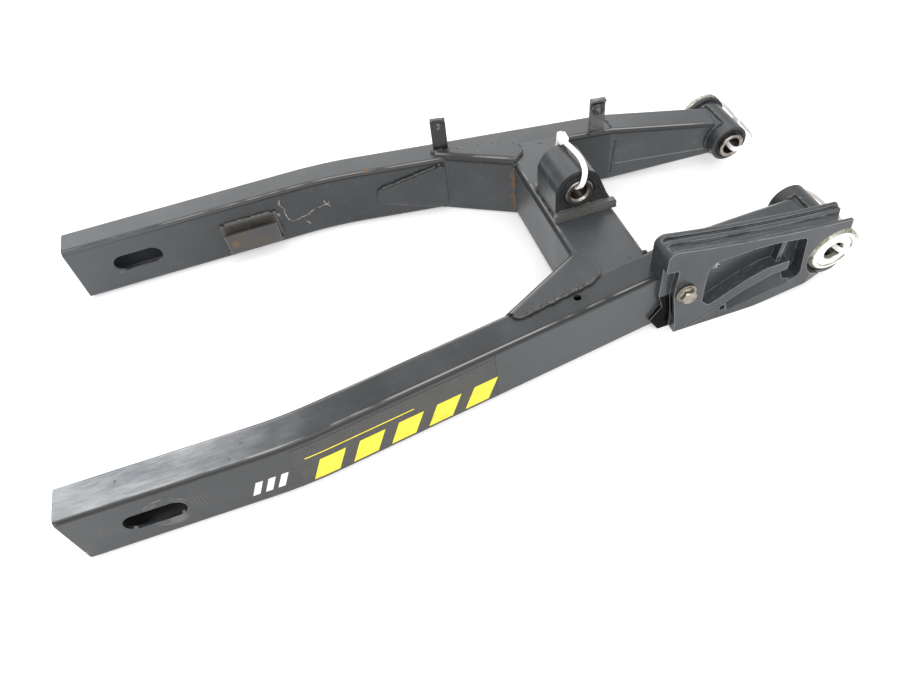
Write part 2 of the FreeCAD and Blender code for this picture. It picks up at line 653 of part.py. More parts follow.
def hose_guide(x, y, turn, nut_sense):
    """Upright strip bent over at the top, with a threaded weld nut on one side."""
    half = GUIDE_WIDTH / 2
    back = GUIDE_THICKNESS
    top = TUBE_TOP + GUIDE_HEIGHT
    outer = GUIDE_BEND_RADIUS
    inner = GUIDE_BEND_RADIUS - GUIDE_THICKNESS
    side = [VEC(-half, 0, TUBE_TOP), VEC(-half, 0, top), VEC(-half, -GUIDE_LIP, top),
            VEC(-half, -GUIDE_LIP, top - back), VEC(-half, -back, top - back), VEC(-half, -back, TUBE_TOP)]
    strip = prism(side, [0.2, outer, 0.8, 0.8, inner, 0.2], VEC(GUIDE_WIDTH, 0, 0))
    front = [VEC(-half, 10, TUBE_TOP), VEC(half, 10, TUBE_TOP), VEC(half, 10, top), VEC(-half, 10, top)]
    strip = strip.common(prism(front, [0.2, 0.2, 2.5, 2.5], VEC(0, -30, 0)))
    centre = VEC(0, 0, TUBE_TOP + GUIDE_HOLE_Z)
    strip = strip.cut(cylinder(GUIDE_THREAD_RADIUS, centre + VEC(0, 5, 0), centre - VEC(0, 10, 0)))
    face_y = 0.0 if nut_sense > 0 else -back
    seat = VEC(0, face_y, centre.z)
    away = VEC(0, nut_sense, 0)
    nut = turned([(0, GUIDE_THREAD_RADIUS), (0, NUT_RADIUS), (NUT_LENGTH - 1.4, NUT_RADIUS - 0.4),
                  (NUT_LENGTH, NUT_RADIUS - 1.5), (NUT_LENGTH, GUIDE_THREAD_RADIUS)], seat, away)
    placed = []
    for piece in (strip, nut):
        piece.rotate(VEC(0, 0, 0), VEC(0, 0, 1), turn)
        piece.translate(VEC(x, y, 0))
        placed.append(piece)
    return placed


rear_guide, rear_nut = hose_guide(REAR_GUIDE_X, REAR_GUIDE_Y, REAR_GUIDE_TURN, 1.0)
front_guide, front_nut = hose_guide(FRONT_GUIDE_X, FRONT_GUIDE_Y, FRONT_GUIDE_TURN, -1.0)


# Brake caliper rail: welded bar with a groove behind its lip

def caliper_rail():
    """J-shaped channel: tall back against the arm, closed bottom, and a lower lip towards the wheel."""
    face_y = RIGHT_REAR_Y - TUBE_WIDTH / 2
    back_y = face_y - RAIL_BACK
    lip_y = face_y - RAIL_STAND
    groove_y = lip_y + RAIL_LIP
    floor_z = RAIL_TOP - RAIL_GROOVE_DEPTH
    places = [(lip_y, RAIL_BOTTOM), (face_y, RAIL_BOTTOM), (face_y, RAIL_BACK_TOP), (back_y, RAIL_BACK_TOP),
              (back_y, floor_z), (groove_y, floor_z), (groove_y, RAIL_TOP), (lip_y, RAIL_TOP)]
    corners = [VEC(RAIL_REAR_X, y, z) for y, z in places]
    return prism(corners, [1.6, 0.2, 0.2, 0.8, 0.8, 0.8, 0.8, 1.0], VEC(RAIL_LENGTH, 0, 0))


# Chain slider: moulded cover with chain lanes, ribbed window and an opening for the pivot cap

def slider_top(drop, start_x):
    return [VEC(start_x, 0, SLIDER_REAR_TOP - drop), VEC(SLIDER_MID_X, 0, SLIDER_MID_TOP - drop),
            VEC(SLIDER_TIP_X, 0, SLIDER_TIP_TOP - drop)]


def slider_outline(offset, end_x):
    """Side view of the slider, moved inwards by an offset."""
    rear_x = SLIDER_REAR_X + offset
    top = slider_top(offset, rear_x)
    tip = VEC(end_x, 0, top[2].z)
    bottom = SLIDER_BOTTOM + offset
    chin = VEC(end_x + SLIDER_TIP_CHIN, 0, SLIDER_TIP_BOTTOM + offset)
    points = [tip, chin, VEC(SLIDER_CHIN_X, 0, SLIDER_CHIN_Z + offset),
              VEC(SLIDER_MID_X, 0, bottom), VEC(rear_x + SLIDER_LOBE, 0, bottom),
              VEC(rear_x - SLIDER_LOBE, 0, SLIDER_LOBE_Z + offset), VEC(rear_x + SLIDER_LOBE, 0, SLIDER_WAIST_Z),
              VEC(rear_x, 0, SLIDER_HEEL_Z), top[0]]
    edges = [Part.Arc(top[0], top[1], top[2]).toShape()]
    if end_x > top[2].x:
        edges.append(Part.makeLine(top[2], tip))
    for start, end in zip(points[:-1], points[1:]):
        edges.append(Part.makeLine(start, end))
    return loop_face(edges)


def along_y(face, start_y, end_y):
    moved = face.copy()
    moved.translate(VEC(0, start_y, 0))
    return moved.extrude(VEC(0, end_y - start_y, 0))


def xz(points):
    return [VEC(x, 0, z) for x, z in points]


UPPER_POCKET = [(-104.0, -3.0), (-104.0, 31.0), (-71.0, 32.4), (-52.0, 31.0), (-38.0, 28.4), (-38.0, 9.9),
                (-57.0, 9.5), (-72.0, 4.4), (-89.0, -4.9), (-98.0, -9.0)]
UPPER_RADII = [3.0, 9.0, 40.0, 30.0, 0.5, 1.5, 12.0, 12.0, 12.0, 3.0]
FRONT_POCKET = [(-40.0, 28.8), (-31.0, 27.1), (-27.8, -5.0), (-31.0, -10.0), (-40.0, -9.0)]
FRONT_RADII = [0.5, 3.0, 4.0, 3.5, 2.0]
SCOOP = [(-84.5, -12.0), (-70.0, -4.9), (-52.0, 1.6), (-36.0, 2.6), (-34.5, -7.0), (-37.0, -16.0), (-81.0, -24.0)]
SCOOP_RADII = [1.5, 20.0, 20.0, 1.0, 2.0, 4.0, 3.0]
SCOOP_REAR = (-86.0, -95.6, -13.0)
SCOOP_FRONT = (-44.0, -91.4, 2.0)
SCOOP_LOW = (-60.0, -101.2, -17.5)
BACKING = [(-109.0, -20.0), (-109.0, 22.0), (-104.0, 36.5), (-70.0, 37.0), (-26.0, 30.0), (-24.0, -14.0), (-84.0, -24.0)]
BACKING_RADII = [4.0, 8.0, 6.0, 10.0, 4.0, 4.0, 6.0]


def outer_face_y(z):
    """Y of the drafted outer face at a height."""
    share = (SLIDER_REAR_TOP - z) / (SLIDER_REAR_TOP - SLIDER_BOTTOM)
    return SLIDER_OUTER_TOP_Y + (SLIDER_OUTER_BOTTOM_Y - SLIDER_OUTER_TOP_Y) * share


def outer_draft():
    """Block outside the drafted outer face, used to trim it."""
    low_z = SLIDER_BOTTOM - 10.0
    high_z = SLIDER_REAR_TOP + 10.0
    rear_x = SLIDER_REAR_X - 25.0
    beyond_y = SLIDER_OUTSIDE_Y - 10.0
    points = [VEC(rear_x, outer_face_y(low_z), low_z), VEC(rear_x, outer_face_y(high_z), high_z),
              VEC(rear_x, beyond_y, high_z), VEC(rear_x, beyond_y, low_z)]
    return polygon_face(points).extrude(VEC(SLIDER_TIP_X - rear_x + 25.0, 0, 0))


def chain_lane(drop, lane_y):
    """Strip of the top surface, cut down by a drop."""
    low = slider_top(drop, SLIDER_REAR_X - 3.0)
    high = [point + VEC(0, 0, 20) for point in low]
    ahead = VEC(8, 0, 0)
    edges = [Part.Arc(low[0], low[1], low[2]).toShape(), Part.makeLine(low[2], low[2] + ahead),
             Part.makeLine(low[2] + ahead, high[2] + ahead), Part.makeLine(high[2] + ahead, high[0]),
             Part.makeLine(high[0], low[0])]
    return along_y(loop_face(edges), *lane_y)


def bar_face(start, end, width):
    """Straight bar in side view, between two (x, z) ends."""
    begin = VEC(start[0], 0, start[1])
    finish = VEC(end[0], 0, end[1])
    along = (finish - begin).normalize()
    across = VEC(-along.z, 0, along.x) * (width / 2)
    return polygon_face([begin - across, finish - across, finish + across, begin + across])


def bore_y(radius, x, z, end_y):
    """Cylinder along Y from outside the slider to an end."""
    return cylinder(radius, VEC(x, SLIDER_OUTSIDE_Y, z), VEC(x, end_y, z))


def rear_recess():
    """Room behind the outer panel's rear edge, where the slider's inner skin laps the arm."""
    low_z = SLIDER_BOTTOM - 5.0
    far_x = SLIDER_REAR_X - 15.0
    points = [(PANEL_REAR_X + 3.2, low_z), (PANEL_REAR_X + 3.2, SLIDER_LOBE_Z - 4.0), (PANEL_REAR_X - 1.2, SLIDER_HEEL_Z),
              (PANEL_REAR_X - 1.2, SLIDER_HEEL_Z + 8.0), (PANEL_REAR_X, PANEL_TOP_Z), (far_x, PANEL_TOP_Z + 4.0),
              (far_x, low_z)]
    face = rounded_polygon(xz(points), [0.5, 6.0, 3.0, 3.0, 2.0, 0.5, 0.5])
    return along_y(face, SLIDER_OUTSIDE_Y, PANEL_RECESS_Y)


def rear_skin():
    """Inner skin behind the recess, left standing in the cavity."""
    low = VEC(SLIDER_REAR_X - 10.0, SLIDER_OUTSIDE_Y, SLIDER_BOTTOM)
    depth = PANEL_RECESS_Y + PANEL_SKIN - SLIDER_OUTSIDE_Y
    return Part.makeBox(PANEL_REAR_X + 9.0 - low.x, depth, PANEL_TOP_Z + 6.0 - low.z, low)


def scoop():
    """Pocket under the rib, deepest at the rib and running out into the outer face below."""
    rear, front, low = VEC(*SCOOP_REAR), VEC(*SCOOP_FRONT), VEC(*SCOOP_LOW)
    run = (front - rear) * 2
    fall = (low - rear) * 2
    corners = [rear - run - fall, rear + run - fall, rear + run + fall, rear - run + fall]
    outside = polygon_face(corners).extrude(VEC(0, -30, 0))
    window = along_y(rounded_polygon(xz(SCOOP), SCOOP_RADII), SLIDER_OUTSIDE_Y, SLIDER_INNER_Y)
    return window.common(outside)


def corner_edges(body, x, z):
    """Edges that run along Y at one corner of the side view."""
    corner = VEC(x, 0, z)
    found = []
    for edge in body.Edges:
        place = edge.CenterOfMass
        if VEC(place.x, 0, place.z).distanceToPoint(corner) < 0.01:
            found.append(edge)
    return found


def slider_body():
    """Solid outline of the slider with its rear top corner and its chin rounded."""
    body = along_y(slider_outline(0.0, SLIDER_TIP_X), SLIDER_OUTSIDE_Y, SLIDER_INNER_Y)
    rear_edges = corner_edges(body, SLIDER_REAR_X, SLIDER_REAR_TOP)
    body = body.makeFillet(SLIDER_REAR_ROUND, rear_edges)
    chin_edges = corner_edges(body, SLIDER_TIP_X + SLIDER_TIP_CHIN, SLIDER_TIP_BOTTOM)
    return body.makeFillet(SLIDER_CHIN_ROUND, chin_edges)


def nose_lip():
    """Thin lip that curls round the lower side of the cap."""
    cap_room = CAP_RADIUS + CAP_ROOM
    ring = cylinder(cap_room + NOSE_WALL, VEC(0, NOSE_FACE_Y, 0), VEC(0, SLIDER_INNER_Y, 0))
    corner = VEC(NOSE_REAR_X, NOSE_FACE_Y, NOSE_TOP_Z - 20.0)
    span = NOSE_FRONT_X - NOSE_REAR_X
    return ring.common(Part.makeBox(span, SLIDER_INNER_Y - NOSE_FACE_Y, 20.0, corner))


def nose_draft():
    """Wedge that turns the lower outer face inwards towards the cap."""
    turn_y = outer_face_y(SLIDER_BOTTOM)
    beyond_x = NOSE_FRONT_X + 10.0
    slope = (NOSE_FACE_Y - turn_y) / (NOSE_FRONT_X - 5.0 - NOSE_TURN_X)
    end_y = turn_y + slope * (beyond_x - NOSE_TURN_X)
    points = [VEC(NOSE_TURN_X, turn_y, SLIDER_BOTTOM), VEC(beyond_x, end_y, SLIDER_BOTTOM),
              VEC(beyond_x, SLIDER_OUTSIDE_Y, SLIDER_BOTTOM), VEC(NOSE_TURN_X, SLIDER_OUTSIDE_Y, SLIDER_BOTTOM)]
    return polygon_face(points).extrude(VEC(0, 0, -SLIDER_BOTTOM))


def tip_notch():
    """Gap behind the outer lip, which runs on past the end of the lanes."""
    beyond_x = SLIDER_TIP_X + 1.0
    points = [VEC(NOTCH_REAR_X, NOTCH_LIP_Y, 0), VEC(beyond_x, NOTCH_LIP_Y, 0), VEC(beyond_x, NOTCH_RIDGE_Y, 0)]
    return polygon_face(points).extrude(VEC(0, 0, SLIDER_REAR_TOP))


def chain_slider():
    outside = SLIDER_OUTSIDE_Y
    open_y = SLIDER_INNER_Y + 5.0
    body = slider_body()
    cavity = along_y(slider_outline(SLIDER_WALL, SLIDER_TIP_X + SLIDER_WALL), SLIDER_OUTER_TOP_Y + SLIDER_WALL, open_y)
    backing = along_y(rounded_polygon(xz(BACKING), BACKING_RADII), outside, POCKET_FLOOR_Y + POCKET_BACK)
    boss = bore_y(FIXING_BOSS_RADIUS, BOLT_X, BOLT_Z, SLIDER_INNER_Y)
    body = body.cut(cavity.cut(backing).cut(boss).cut(rear_skin())).fuse(nose_lip())
    upper = along_y(rounded_polygon(xz(UPPER_POCKET), UPPER_RADII), outside, POCKET_FLOOR_Y)
    front = along_y(rounded_polygon(xz(FRONT_POCKET), FRONT_RADII), outside, POCKET_FLOOR_Y)
    window_rib = along_y(bar_face(RIB_TOP, RIB_FOOT, RIB_WIDTH), RIB_CREST_Y, POCKET_FLOOR_Y)
    crease = along_y(bar_face(CREASE_REAR, CREASE_FRONT, CREASE_WIDTH), outside, SLIDER_OUTER_BOTTOM_Y + CREASE_WIDTH)
    dimple = bore_y(DIMPLE_RADIUS, DIMPLE_X, DIMPLE_Z, DIMPLE_FLOOR_Y)
    opening = bore_y(CAP_OPENING_RADIUS, CAP_OPENING_X, CAP_OPENING_Z, open_y)
    bolt_room = bore_y(BOLT_HOLE_RADIUS, BOLT_X, BOLT_Z, open_y)
    pivot_room = bore_y(CAP_RADIUS + CAP_ROOM, 0, 0, open_y)
    for recess in (upper.cut(window_rib), front, scoop(), crease, dimple, opening, outer_draft(), nose_draft(), tip_notch(),
                   rear_recess(), bolt_room):
        body = body.cut(recess)
    body = body.cut(chain_lane(LANE_DEPTH, INNER_LANE_Y)).cut(chain_lane(LANE_DEPTH * 0.7, OUTER_LANE_Y))
    arm_room = arm_envelope(*LEFT_NUMBERS, 10.0)
    front_room = front_envelope(LEFT_FRONT_Y, -FRONT_TIP_Y, SLIDER_CLEARANCE, 3.0, 0.0)
    return body.cut(arm_room).cut(front_room).cut(pivot_room)


# Slider fixing: flanged hex bolt, washer and the nut inside the arm

def hexagon(flats, start, length):
    radius = flats / 2 / math.cos(math.pi / 6)
    points = []
    for index in range(6):
        angle = math.pi / 3 * index
        points.append(start + VEC(radius * math.cos(angle), 0, radius * math.sin(angle)))
    return polygon_face(points).extrude(VEC(0, length, 0))


seat_y = outer_face_y(BOLT_Z - WASHER_RADIUS)
bolt_origin = VEC(BOLT_X, seat_y, BOLT_Z)
inward = VEC(0, 1, 0)
washer = turned([(-WASHER_THICKNESS, BOLT_HOLE_RADIUS), (-WASHER_THICKNESS, WASHER_RADIUS - 0.3),
                 (0.3 - WASHER_THICKNESS, WASHER_RADIUS), (0, WASHER_RADIUS), (0, BOLT_HOLE_RADIUS)],
                bolt_origin, inward)
flange_back = -WASHER_THICKNESS
flange_front = flange_back - BOLT_FLANGE_THICKNESS
shank = turned([(flange_front - 1.0, 0), (flange_front - 1.0, BOLT_FLANGE_RADIUS - 1.4),
                (flange_front, BOLT_FLANGE_RADIUS - 0.5), (flange_back - 0.3, BOLT_FLANGE_RADIUS),
                (flange_back, BOLT_FLANGE_RADIUS), (flange_back, BOLT_RADIUS), (BOLT_LENGTH, BOLT_RADIUS),
                (BOLT_LENGTH + 1.0, BOLT_RADIUS - 1.0), (BOLT_LENGTH + 1.0, 0)], bolt_origin, inward)
head_start = bolt_origin - inward * (BOLT_HEAD_HEIGHT + WASHER_THICKNESS)
head = hexagon(BOLT_HEAD_FLATS, head_start, BOLT_HEAD_HEIGHT - 0.6)
head_round = turned([(0, 0), (0, BOLT_HEAD_FLATS / 2 - 0.2), (1.2, BOLT_HEAD_FLATS / 2 + 0.8),
                     (BOLT_HEAD_HEIGHT, BOLT_HEAD_FLATS / 2 + 0.8), (BOLT_HEAD_HEIGHT, 0)], head_start, inward)
slider_bolt = shank.fuse(head.common(head_round)).removeSplitter()
arm_skin_y = arm_centre_y(*LEFT_NUMBERS, BOLT_X) - TUBE_WIDTH / 2 + TUBE_WALL + BOLT_NUT_GAP
nut_start = VEC(BOLT_X, arm_skin_y, BOLT_Z)
slider_nut = hexagon(BOLT_NUT_FLATS, nut_start, BOLT_NUT_HEIGHT)
slider_nut = slider_nut.cut(cylinder(BOLT_RADIUS, nut_start - inward, nut_start + inward * 10))

names = ("pivot_tube", "needle_cup", "rollers", "pivot_sleeve", "inner_seal", "dust_seal", "pivot_cap")
for side, stack in (("left", left_stack), ("right", right_stack)):
    for name, piece in zip(names, stack):
        save(side + "_" + name, piece if isinstance(piece, list) else [piece])

save("left_arm", [left_arm])
save("right_arm", [right_arm])
save("left_front_section", [left_front])
save("right_front_section", [right_front])
save("cross_tube", [cross_tube])
save("left_gusset", [left_gusset])
save("right_gusset", [right_gusset])
save("right_gusset_tongue", [right_tongue])
save("link_saddle", [saddle])
save("link_bearing_tube", [link_tube])
save("link_end_plates", end_plates)
save("link_foot_strips", foot_strips)
save("link_needle_cup", [link_cup])
save("link_rollers", link_rollers)
save("link_seals", link_seals)
save("link_sleeve", [link_sleeve])
save("rear_hose_guide", [rear_guide])
save("front_hose_guide", [front_guide])
save("hose_guide_nuts", [rear_nut, front_nut])
save("caliper_rail", [caliper_rail()])
save("chain_slider", [chain_slider()])
save("slider_washer", [washer])
save("slider_bolt", [slider_bolt])
save("slider_nut", [slider_nut])
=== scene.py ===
import math

import bmesh
import bpy
from mathutils import Matrix, Vector


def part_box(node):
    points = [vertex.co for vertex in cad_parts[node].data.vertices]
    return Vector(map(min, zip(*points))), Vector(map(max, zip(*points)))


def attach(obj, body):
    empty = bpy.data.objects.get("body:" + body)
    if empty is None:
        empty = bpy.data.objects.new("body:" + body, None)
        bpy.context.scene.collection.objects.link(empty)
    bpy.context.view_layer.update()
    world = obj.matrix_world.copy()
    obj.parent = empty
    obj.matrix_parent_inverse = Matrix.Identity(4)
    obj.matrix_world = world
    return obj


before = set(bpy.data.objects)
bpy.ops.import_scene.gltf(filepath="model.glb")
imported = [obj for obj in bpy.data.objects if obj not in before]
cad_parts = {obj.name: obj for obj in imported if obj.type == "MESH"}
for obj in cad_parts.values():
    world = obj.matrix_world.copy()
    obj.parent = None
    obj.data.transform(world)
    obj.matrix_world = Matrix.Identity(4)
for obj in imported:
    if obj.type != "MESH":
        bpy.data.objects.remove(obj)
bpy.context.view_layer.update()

MM = 0.001
BODY = "arm"

# Places read from the frame
ARM_LOW, ARM_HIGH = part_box("left_arm")
CROSS_LOW, CROSS_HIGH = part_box("cross_tube")
BOSS_LOW, BOSS_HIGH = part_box("link_saddle")
STRIPS_LOW, STRIPS_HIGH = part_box("link_foot_strips")
RAIL_LOW, RAIL_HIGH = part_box("caliper_rail")
TOP = ARM_HIGH[2]
BOTTOM = ARM_LOW[2]
REAR = ARM_LOW[0]
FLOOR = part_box("chain_slider")[0][2]

# Camera, at the photograph's viewpoint
CAMERA_PLACE = Vector((-0.3341, -0.3722, 0.3849))
CAMERA_YAW = math.radians(-11.05)
CAMERA_PITCH = math.radians(51.01)
CAMERA_ROLL = math.radians(8.91)
CAMERA_LENS = 29.12
CAMERA_SENSOR = 36.0

# Floor and backdrop
FLOOR_REACH = 6.0
BACKDROP_STRENGTH = 0.75


def spot(x, y, z):
    """A point given in millimetres, in metres."""
    return Vector((x, y, z)) * MM


def probe(node, start, direction):
    """Where a ray meets a CAD node."""
    hit, place, _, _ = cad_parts[node].ray_cast(Vector(start), Vector(direction))
    if not hit:
        raise RuntimeError(f"no surface of {node} along the ray from {tuple(start)}")
    return place


# Material helper

SHADER_INPUTS = {"colour": "Base Color", "roughness": "Roughness", "metallic": "Metallic",
                 "specular": "Specular IOR Level", "glow": "Emission Strength",
                 "subsurface": "Subsurface Weight"}
SWAY_SCALE = 110.0
SWAY_REACH = (9.0 * MM, 0.0, 9.0 * MM)


class Finish:
    """One procedural material, wired by short calls in object coordinates."""

    def __init__(self, name):
        self.material = bpy.data.materials.new(name)
        self.material.use_nodes = True
        self.tree = self.material.node_tree
        self.shader = self.tree.nodes["Principled BSDF"]
        coordinates = self.tree.nodes.new("ShaderNodeTexCoord")
        self.place = coordinates.outputs["Object"]
        self.x, self.y, self.z = self.split(self.place)
        self.nx, self.ny, self.nz = self.split(coordinates.outputs["Normal"])

    def feed(self, socket, value):
        if isinstance(value, bpy.types.NodeSocket):
            self.tree.links.new(value, socket)
        else:
            socket.default_value = value

    def node(self, kind, *values, **settings):
        node = self.tree.nodes.new(kind)
        for key, value in settings.items():
            setattr(node, key, value)
        for socket, value in zip(node.inputs, values):
            self.feed(socket, value)
        return node

    def split(self, vector):
        return self.node("ShaderNodeSeparateXYZ", vector).outputs[:3]

    def math(self, operation, *values):
        return self.node("ShaderNodeMath", *values, operation=operation).outputs[0]

    def vector_math(self, operation, *values, output="Vector"):
        return self.node("ShaderNodeVectorMath", *values, operation=operation).outputs[output]

    def times(self, *values):
        total = values[0]
        for value in values[1:]:
            total = self.math("MULTIPLY", total, value)
        return total

    def plus(self, *values):
        total = values[0]
        for value in values[1:]:
            total = self.math("ADD", total, value)
        return total

    def either(self, *masks):
        total = masks[0]
        for mask in masks[1:]:
            total = self.math("MAXIMUM", total, mask)
        return total

    def ramp(self, value, low, high, start=0.0, end=1.0):
        """Smooth and clamped change from start to end while the value goes from low to high."""
        return self.node("ShaderNodeMapRange", value, low, high, start, end,
                         interpolation_type="SMOOTHSTEP").outputs[0]

    def within(self, value, low, high, soft):
        """1 between low and high, with soft sides."""
        rise = self.ramp(value, low - soft / 2, low + soft / 2)
        fall = self.ramp(value, high - soft / 2, high + soft / 2, 1.0, 0.0)
        return self.times(rise, fall)

    def stretched(self, scale, turn=(0, 0, 0)):
        return self.node("ShaderNodeMapping", self.place, (0, 0, 0), turn, scale).outputs[0]

    def noise(self, scale, detail=3.0, roughness=0.55, vector=None):
        node = self.node("ShaderNodeTexNoise")
        self.feed(node.inputs["Vector"], vector or self.place)
        node.inputs["Scale"].default_value = scale
        node.inputs["Detail"].default_value = detail
        node.inputs["Roughness"].default_value = roughness
        return node.outputs[0]

    def near(self, centre, radius, soft):
        """1 inside a ball round a point, with a ragged edge."""
        distance = self.vector_math("DISTANCE", self.place, centre, output="Value")
        ragged = self.plus(distance, self.times(self.plus(self.noise(260.0), -0.5), soft * 1.6))
        return self.ramp(ragged, radius - soft / 2, radius + soft / 2, 1.0, 0.0)

    def stroke(self, start, end, width):
        """1 along a scratch between two points, which sways a little and has an uneven width."""
        run = Vector(end) - Vector(start)
        wave = self.node("ShaderNodeTexNoise")
        wave.inputs["Scale"].default_value = SWAY_SCALE
        self.feed(wave.inputs["Vector"], self.place)
        sway = self.vector_math("SUBTRACT", wave.outputs["Color"], (0.5, 0.5, 0.5))
        swayed = self.vector_math("ADD", self.place, self.vector_math("MULTIPLY", sway, SWAY_REACH))
        offset = self.vector_math("SUBTRACT", swayed, start)
        travelled = self.vector_math("DOT_PRODUCT", offset, run, output="Value")
        share = self.node("ShaderNodeMath", travelled, 1.0 / run.length_squared, operation="MULTIPLY",
                          use_clamp=True).outputs[0]
        along = self.node("ShaderNodeVectorMath", run, operation="SCALE")
        self.feed(along.inputs["Scale"], share)
        gap = self.vector_math("DISTANCE", offset, along.outputs[0], output="Value")
        ragged = self.plus(gap, self.times(self.plus(self.noise(300.0), -0.5), width * 3.0))
        return self.ramp(ragged, width * 0.3, width * 0.7, 1.0, 0.0)

    def edge_line(self, radius):
        """1 in a thin line along every sharp edge."""
        round_off = self.tree.nodes.new("ShaderNodeBevel")
        round_off.samples = 4
        round_off.inputs["Radius"].default_value = radius
        true = self.tree.nodes.new("ShaderNodeNewGeometry").outputs["Normal"]
        agreement = self.vector_math("DOT_PRODUCT", round_off.outputs[0], true, output="Value")
        return self.ramp(agreement, 0.90, 0.985, 1.0, 0.0)

    def blend(self, factor, first, second):
        node = self.tree.nodes.new("ShaderNodeMix")
        node.data_type = "RGBA"
        self.feed(node.inputs[0], factor)
        self.feed(node.inputs[6], first)
        self.feed(node.inputs[7], second)
        return node.outputs[2]

    def put(self, **values):
        for key, value in values.items():
            self.feed(self.shader.inputs[SHADER_INPUTS[key]], value)

    def bump(self, height, distance):
        node = self.node("ShaderNodeBump")
        node.inputs["Strength"].default_value = 1.0
        node.inputs["Distance"].default_value = distance
        self.feed(node.inputs["Height"], height)
        self.feed(self.shader.inputs["Normal"], node.outputs[0])


def grey(value, warmth=0.0):
    return (value * (1 + warmth), value, value * (1 - warmth), 1.0)


RUST = (0.17, 0.095, 0.04, 1.0)
DUST = (0.27, 0.27, 0.26, 1.0)
COOL = -0.09


# Satin black paint, with dust, hairlines, painted shade and painted highlight along the upper edges (partly
# rubbed metal), and whatever else an area shows

class Paint(Finish):
    def __init__(self, name, tone, gloss, dust=0.25, edge=0.35, tint=COOL):
        super().__init__(name)
        cloud = self.noise(26.0, 5.0)
        grain = self.noise(900.0, 2.0)
        base = self.blend(self.ramp(cloud, 0.35, 0.7), grey(tone * 0.82, tint), grey(tone * 1.22, tint))
        drifts = self.ramp(self.noise(70.0, 6.0, 0.7), 0.5, 0.8)
        film = self.times(drifts, self.ramp(grain, 0.35, 0.75), dust)
        self.colour = self.blend(film, base, DUST)
        hairs = self.hairlines((30.0, 1400.0, 1400.0), 0.71)
        scratches = self.times(hairs, self.ramp(self.noise(34.0), 0.45, 0.65))
        self.colour = self.blend(self.times(scratches, 0.35), self.colour, grey(0.30))
        self.rough = self.plus(self.ramp(cloud, 0.3, 0.75, gloss - 0.05, gloss + 0.09),
                               self.times(film, 0.25))
        self.metal = 0.0
        self.sheen = 0.5
        self.height = self.plus(self.times(self.noise(1500.0, 1.0), 0.25),
                                self.times(self.noise(190.0, 2.0), 0.5))
        if edge > 0:
            self.shade_and_rub_edges(edge)

    def hairlines(self, scale, threshold, turn=(0, 0, 0)):
        lines = self.noise(1.0, 4.0, 0.65, self.stretched(scale, turn=turn))
        return self.ramp(lines, threshold, threshold + 0.05)

    def shade_and_rub_edges(self, amount):
        """Upper edges: a dark line of painted shade where the surface turns over, and just above it a
        broken lighter line that is partly painted highlight and partly rubbed metal.
        """
        turning = self.within(self.nz, 0.25, 0.80, 0.12)
        self.lay(self.times(turning, 0.8), grey(0.006), rough=0.42)
        crest = self.within(self.nz, 0.84, 0.95, 0.05)
        patches = self.ramp(self.noise(1.0, 3.0, 0.6, self.stretched((14.0, 40.0, 40.0))), 0.44, 0.54)
        self.lay(self.times(crest, patches, amount), grey(0.36, 0.02), rough=0.36, metal=0.5)

    def specks(self, amount):
        """Bright points on the parts of a surface that face up: painted glints, and rubbed spots as well.
        """
        spots = self.ramp(self.noise(360.0, 3.0, 0.7), 0.60, 0.68)
        raised = self.ramp(self.nz, 0.2, 0.6)
        self.lay(self.times(spots, raised, amount), grey(0.50), rough=0.3, metal=0.6)

    def lay(self, mask, colour, rough=None, metal=None, depth=0.0, sheen=None):
        self.colour = self.blend(mask, self.colour, colour)
        if sheen is not None:
            self.sheen = self.mixed(mask, self.sheen, sheen)
        if rough is not None:
            self.rough = self.mixed(mask, self.rough, rough)
        if metal is not None:
            self.metal = self.mixed(mask, self.metal, metal)
        if depth:
            self.height = self.plus(self.height, self.times(mask, depth))

    def mixed(self, factor, first, second):
        node = self.tree.nodes.new("ShaderNodeMix")
        self.feed(node.inputs[0], factor)
        self.feed(node.inputs[2], first)
        self.feed(node.inputs[3], second)
        return node.outputs[0]

    def rust(self, centre, radius):
        self.lay(self.times(self.near(centre, radius, radius * 1.1), 0.75), RUST, rough=0.8)

    def finish(self):
        self.put(colour=self.colour, roughness=self.rough, metallic=self.metal, specular=self.sheen)
        self.bump(self.height, 0.00012)
        return self.material


def worn_metal(paint, mask, tone):
    """Paint rubbed through to a blotchy grey, with dark scratches left in it."""
    clouds = paint.noise(1.0, 9.0, 0.72, paint.stretched((18.0, 70.0, 70.0)))
    blotches = paint.ramp(clouds, 0.30, 0.70)
    marks = paint.times(paint.hairlines((22.0, 800.0, 800.0), 0.60), 0.35)
    chips = paint.ramp(paint.noise(190.0, 4.0, 0.7), 0.67, 0.70)
    colour = paint.blend(blotches, grey(tone * 0.42, COOL), grey(tone, -0.02))
    colour = paint.blend(paint.either(marks, chips), colour, grey(0.07))
    paint.lay(mask, colour, rough=0.42, metal=0.45)


SLOT_MARKS = 6
TICK_PITCH = 2.3 * MM
TICK_HEIGHT = 13 * MM
TICK_STARTS = (-514.0 * MM, -458.6 * MM)
SLOT_Z = 0.4 * MM
WASHER_X = -472.0 * MM
WASHER_RINGS = [(11.8, 12.3, 0.6), (13.8, 14.8, 0.8), (10.4, 10.8, 0.5)]


def ticks(paint, start_x):
    """Adjuster marks beside an axle slot, scribed through the paint."""
    span = SLOT_MARKS * TICK_PITCH
    area = paint.times(paint.within(paint.x, start_x, start_x + span, 0.0004),
                       paint.within(paint.z, SLOT_Z - TICK_HEIGHT / 2, SLOT_Z + TICK_HEIGHT / 2, 0.0006))
    phase = paint.math("FRACT", paint.math("DIVIDE", paint.plus(paint.x, 1.0 - start_x), TICK_PITCH))
    lines = paint.within(phase, 0.40, 0.58, 0.1)
    paint.lay(paint.times(area, lines, 0.7), grey(0.085), rough=0.5, depth=-1.4)


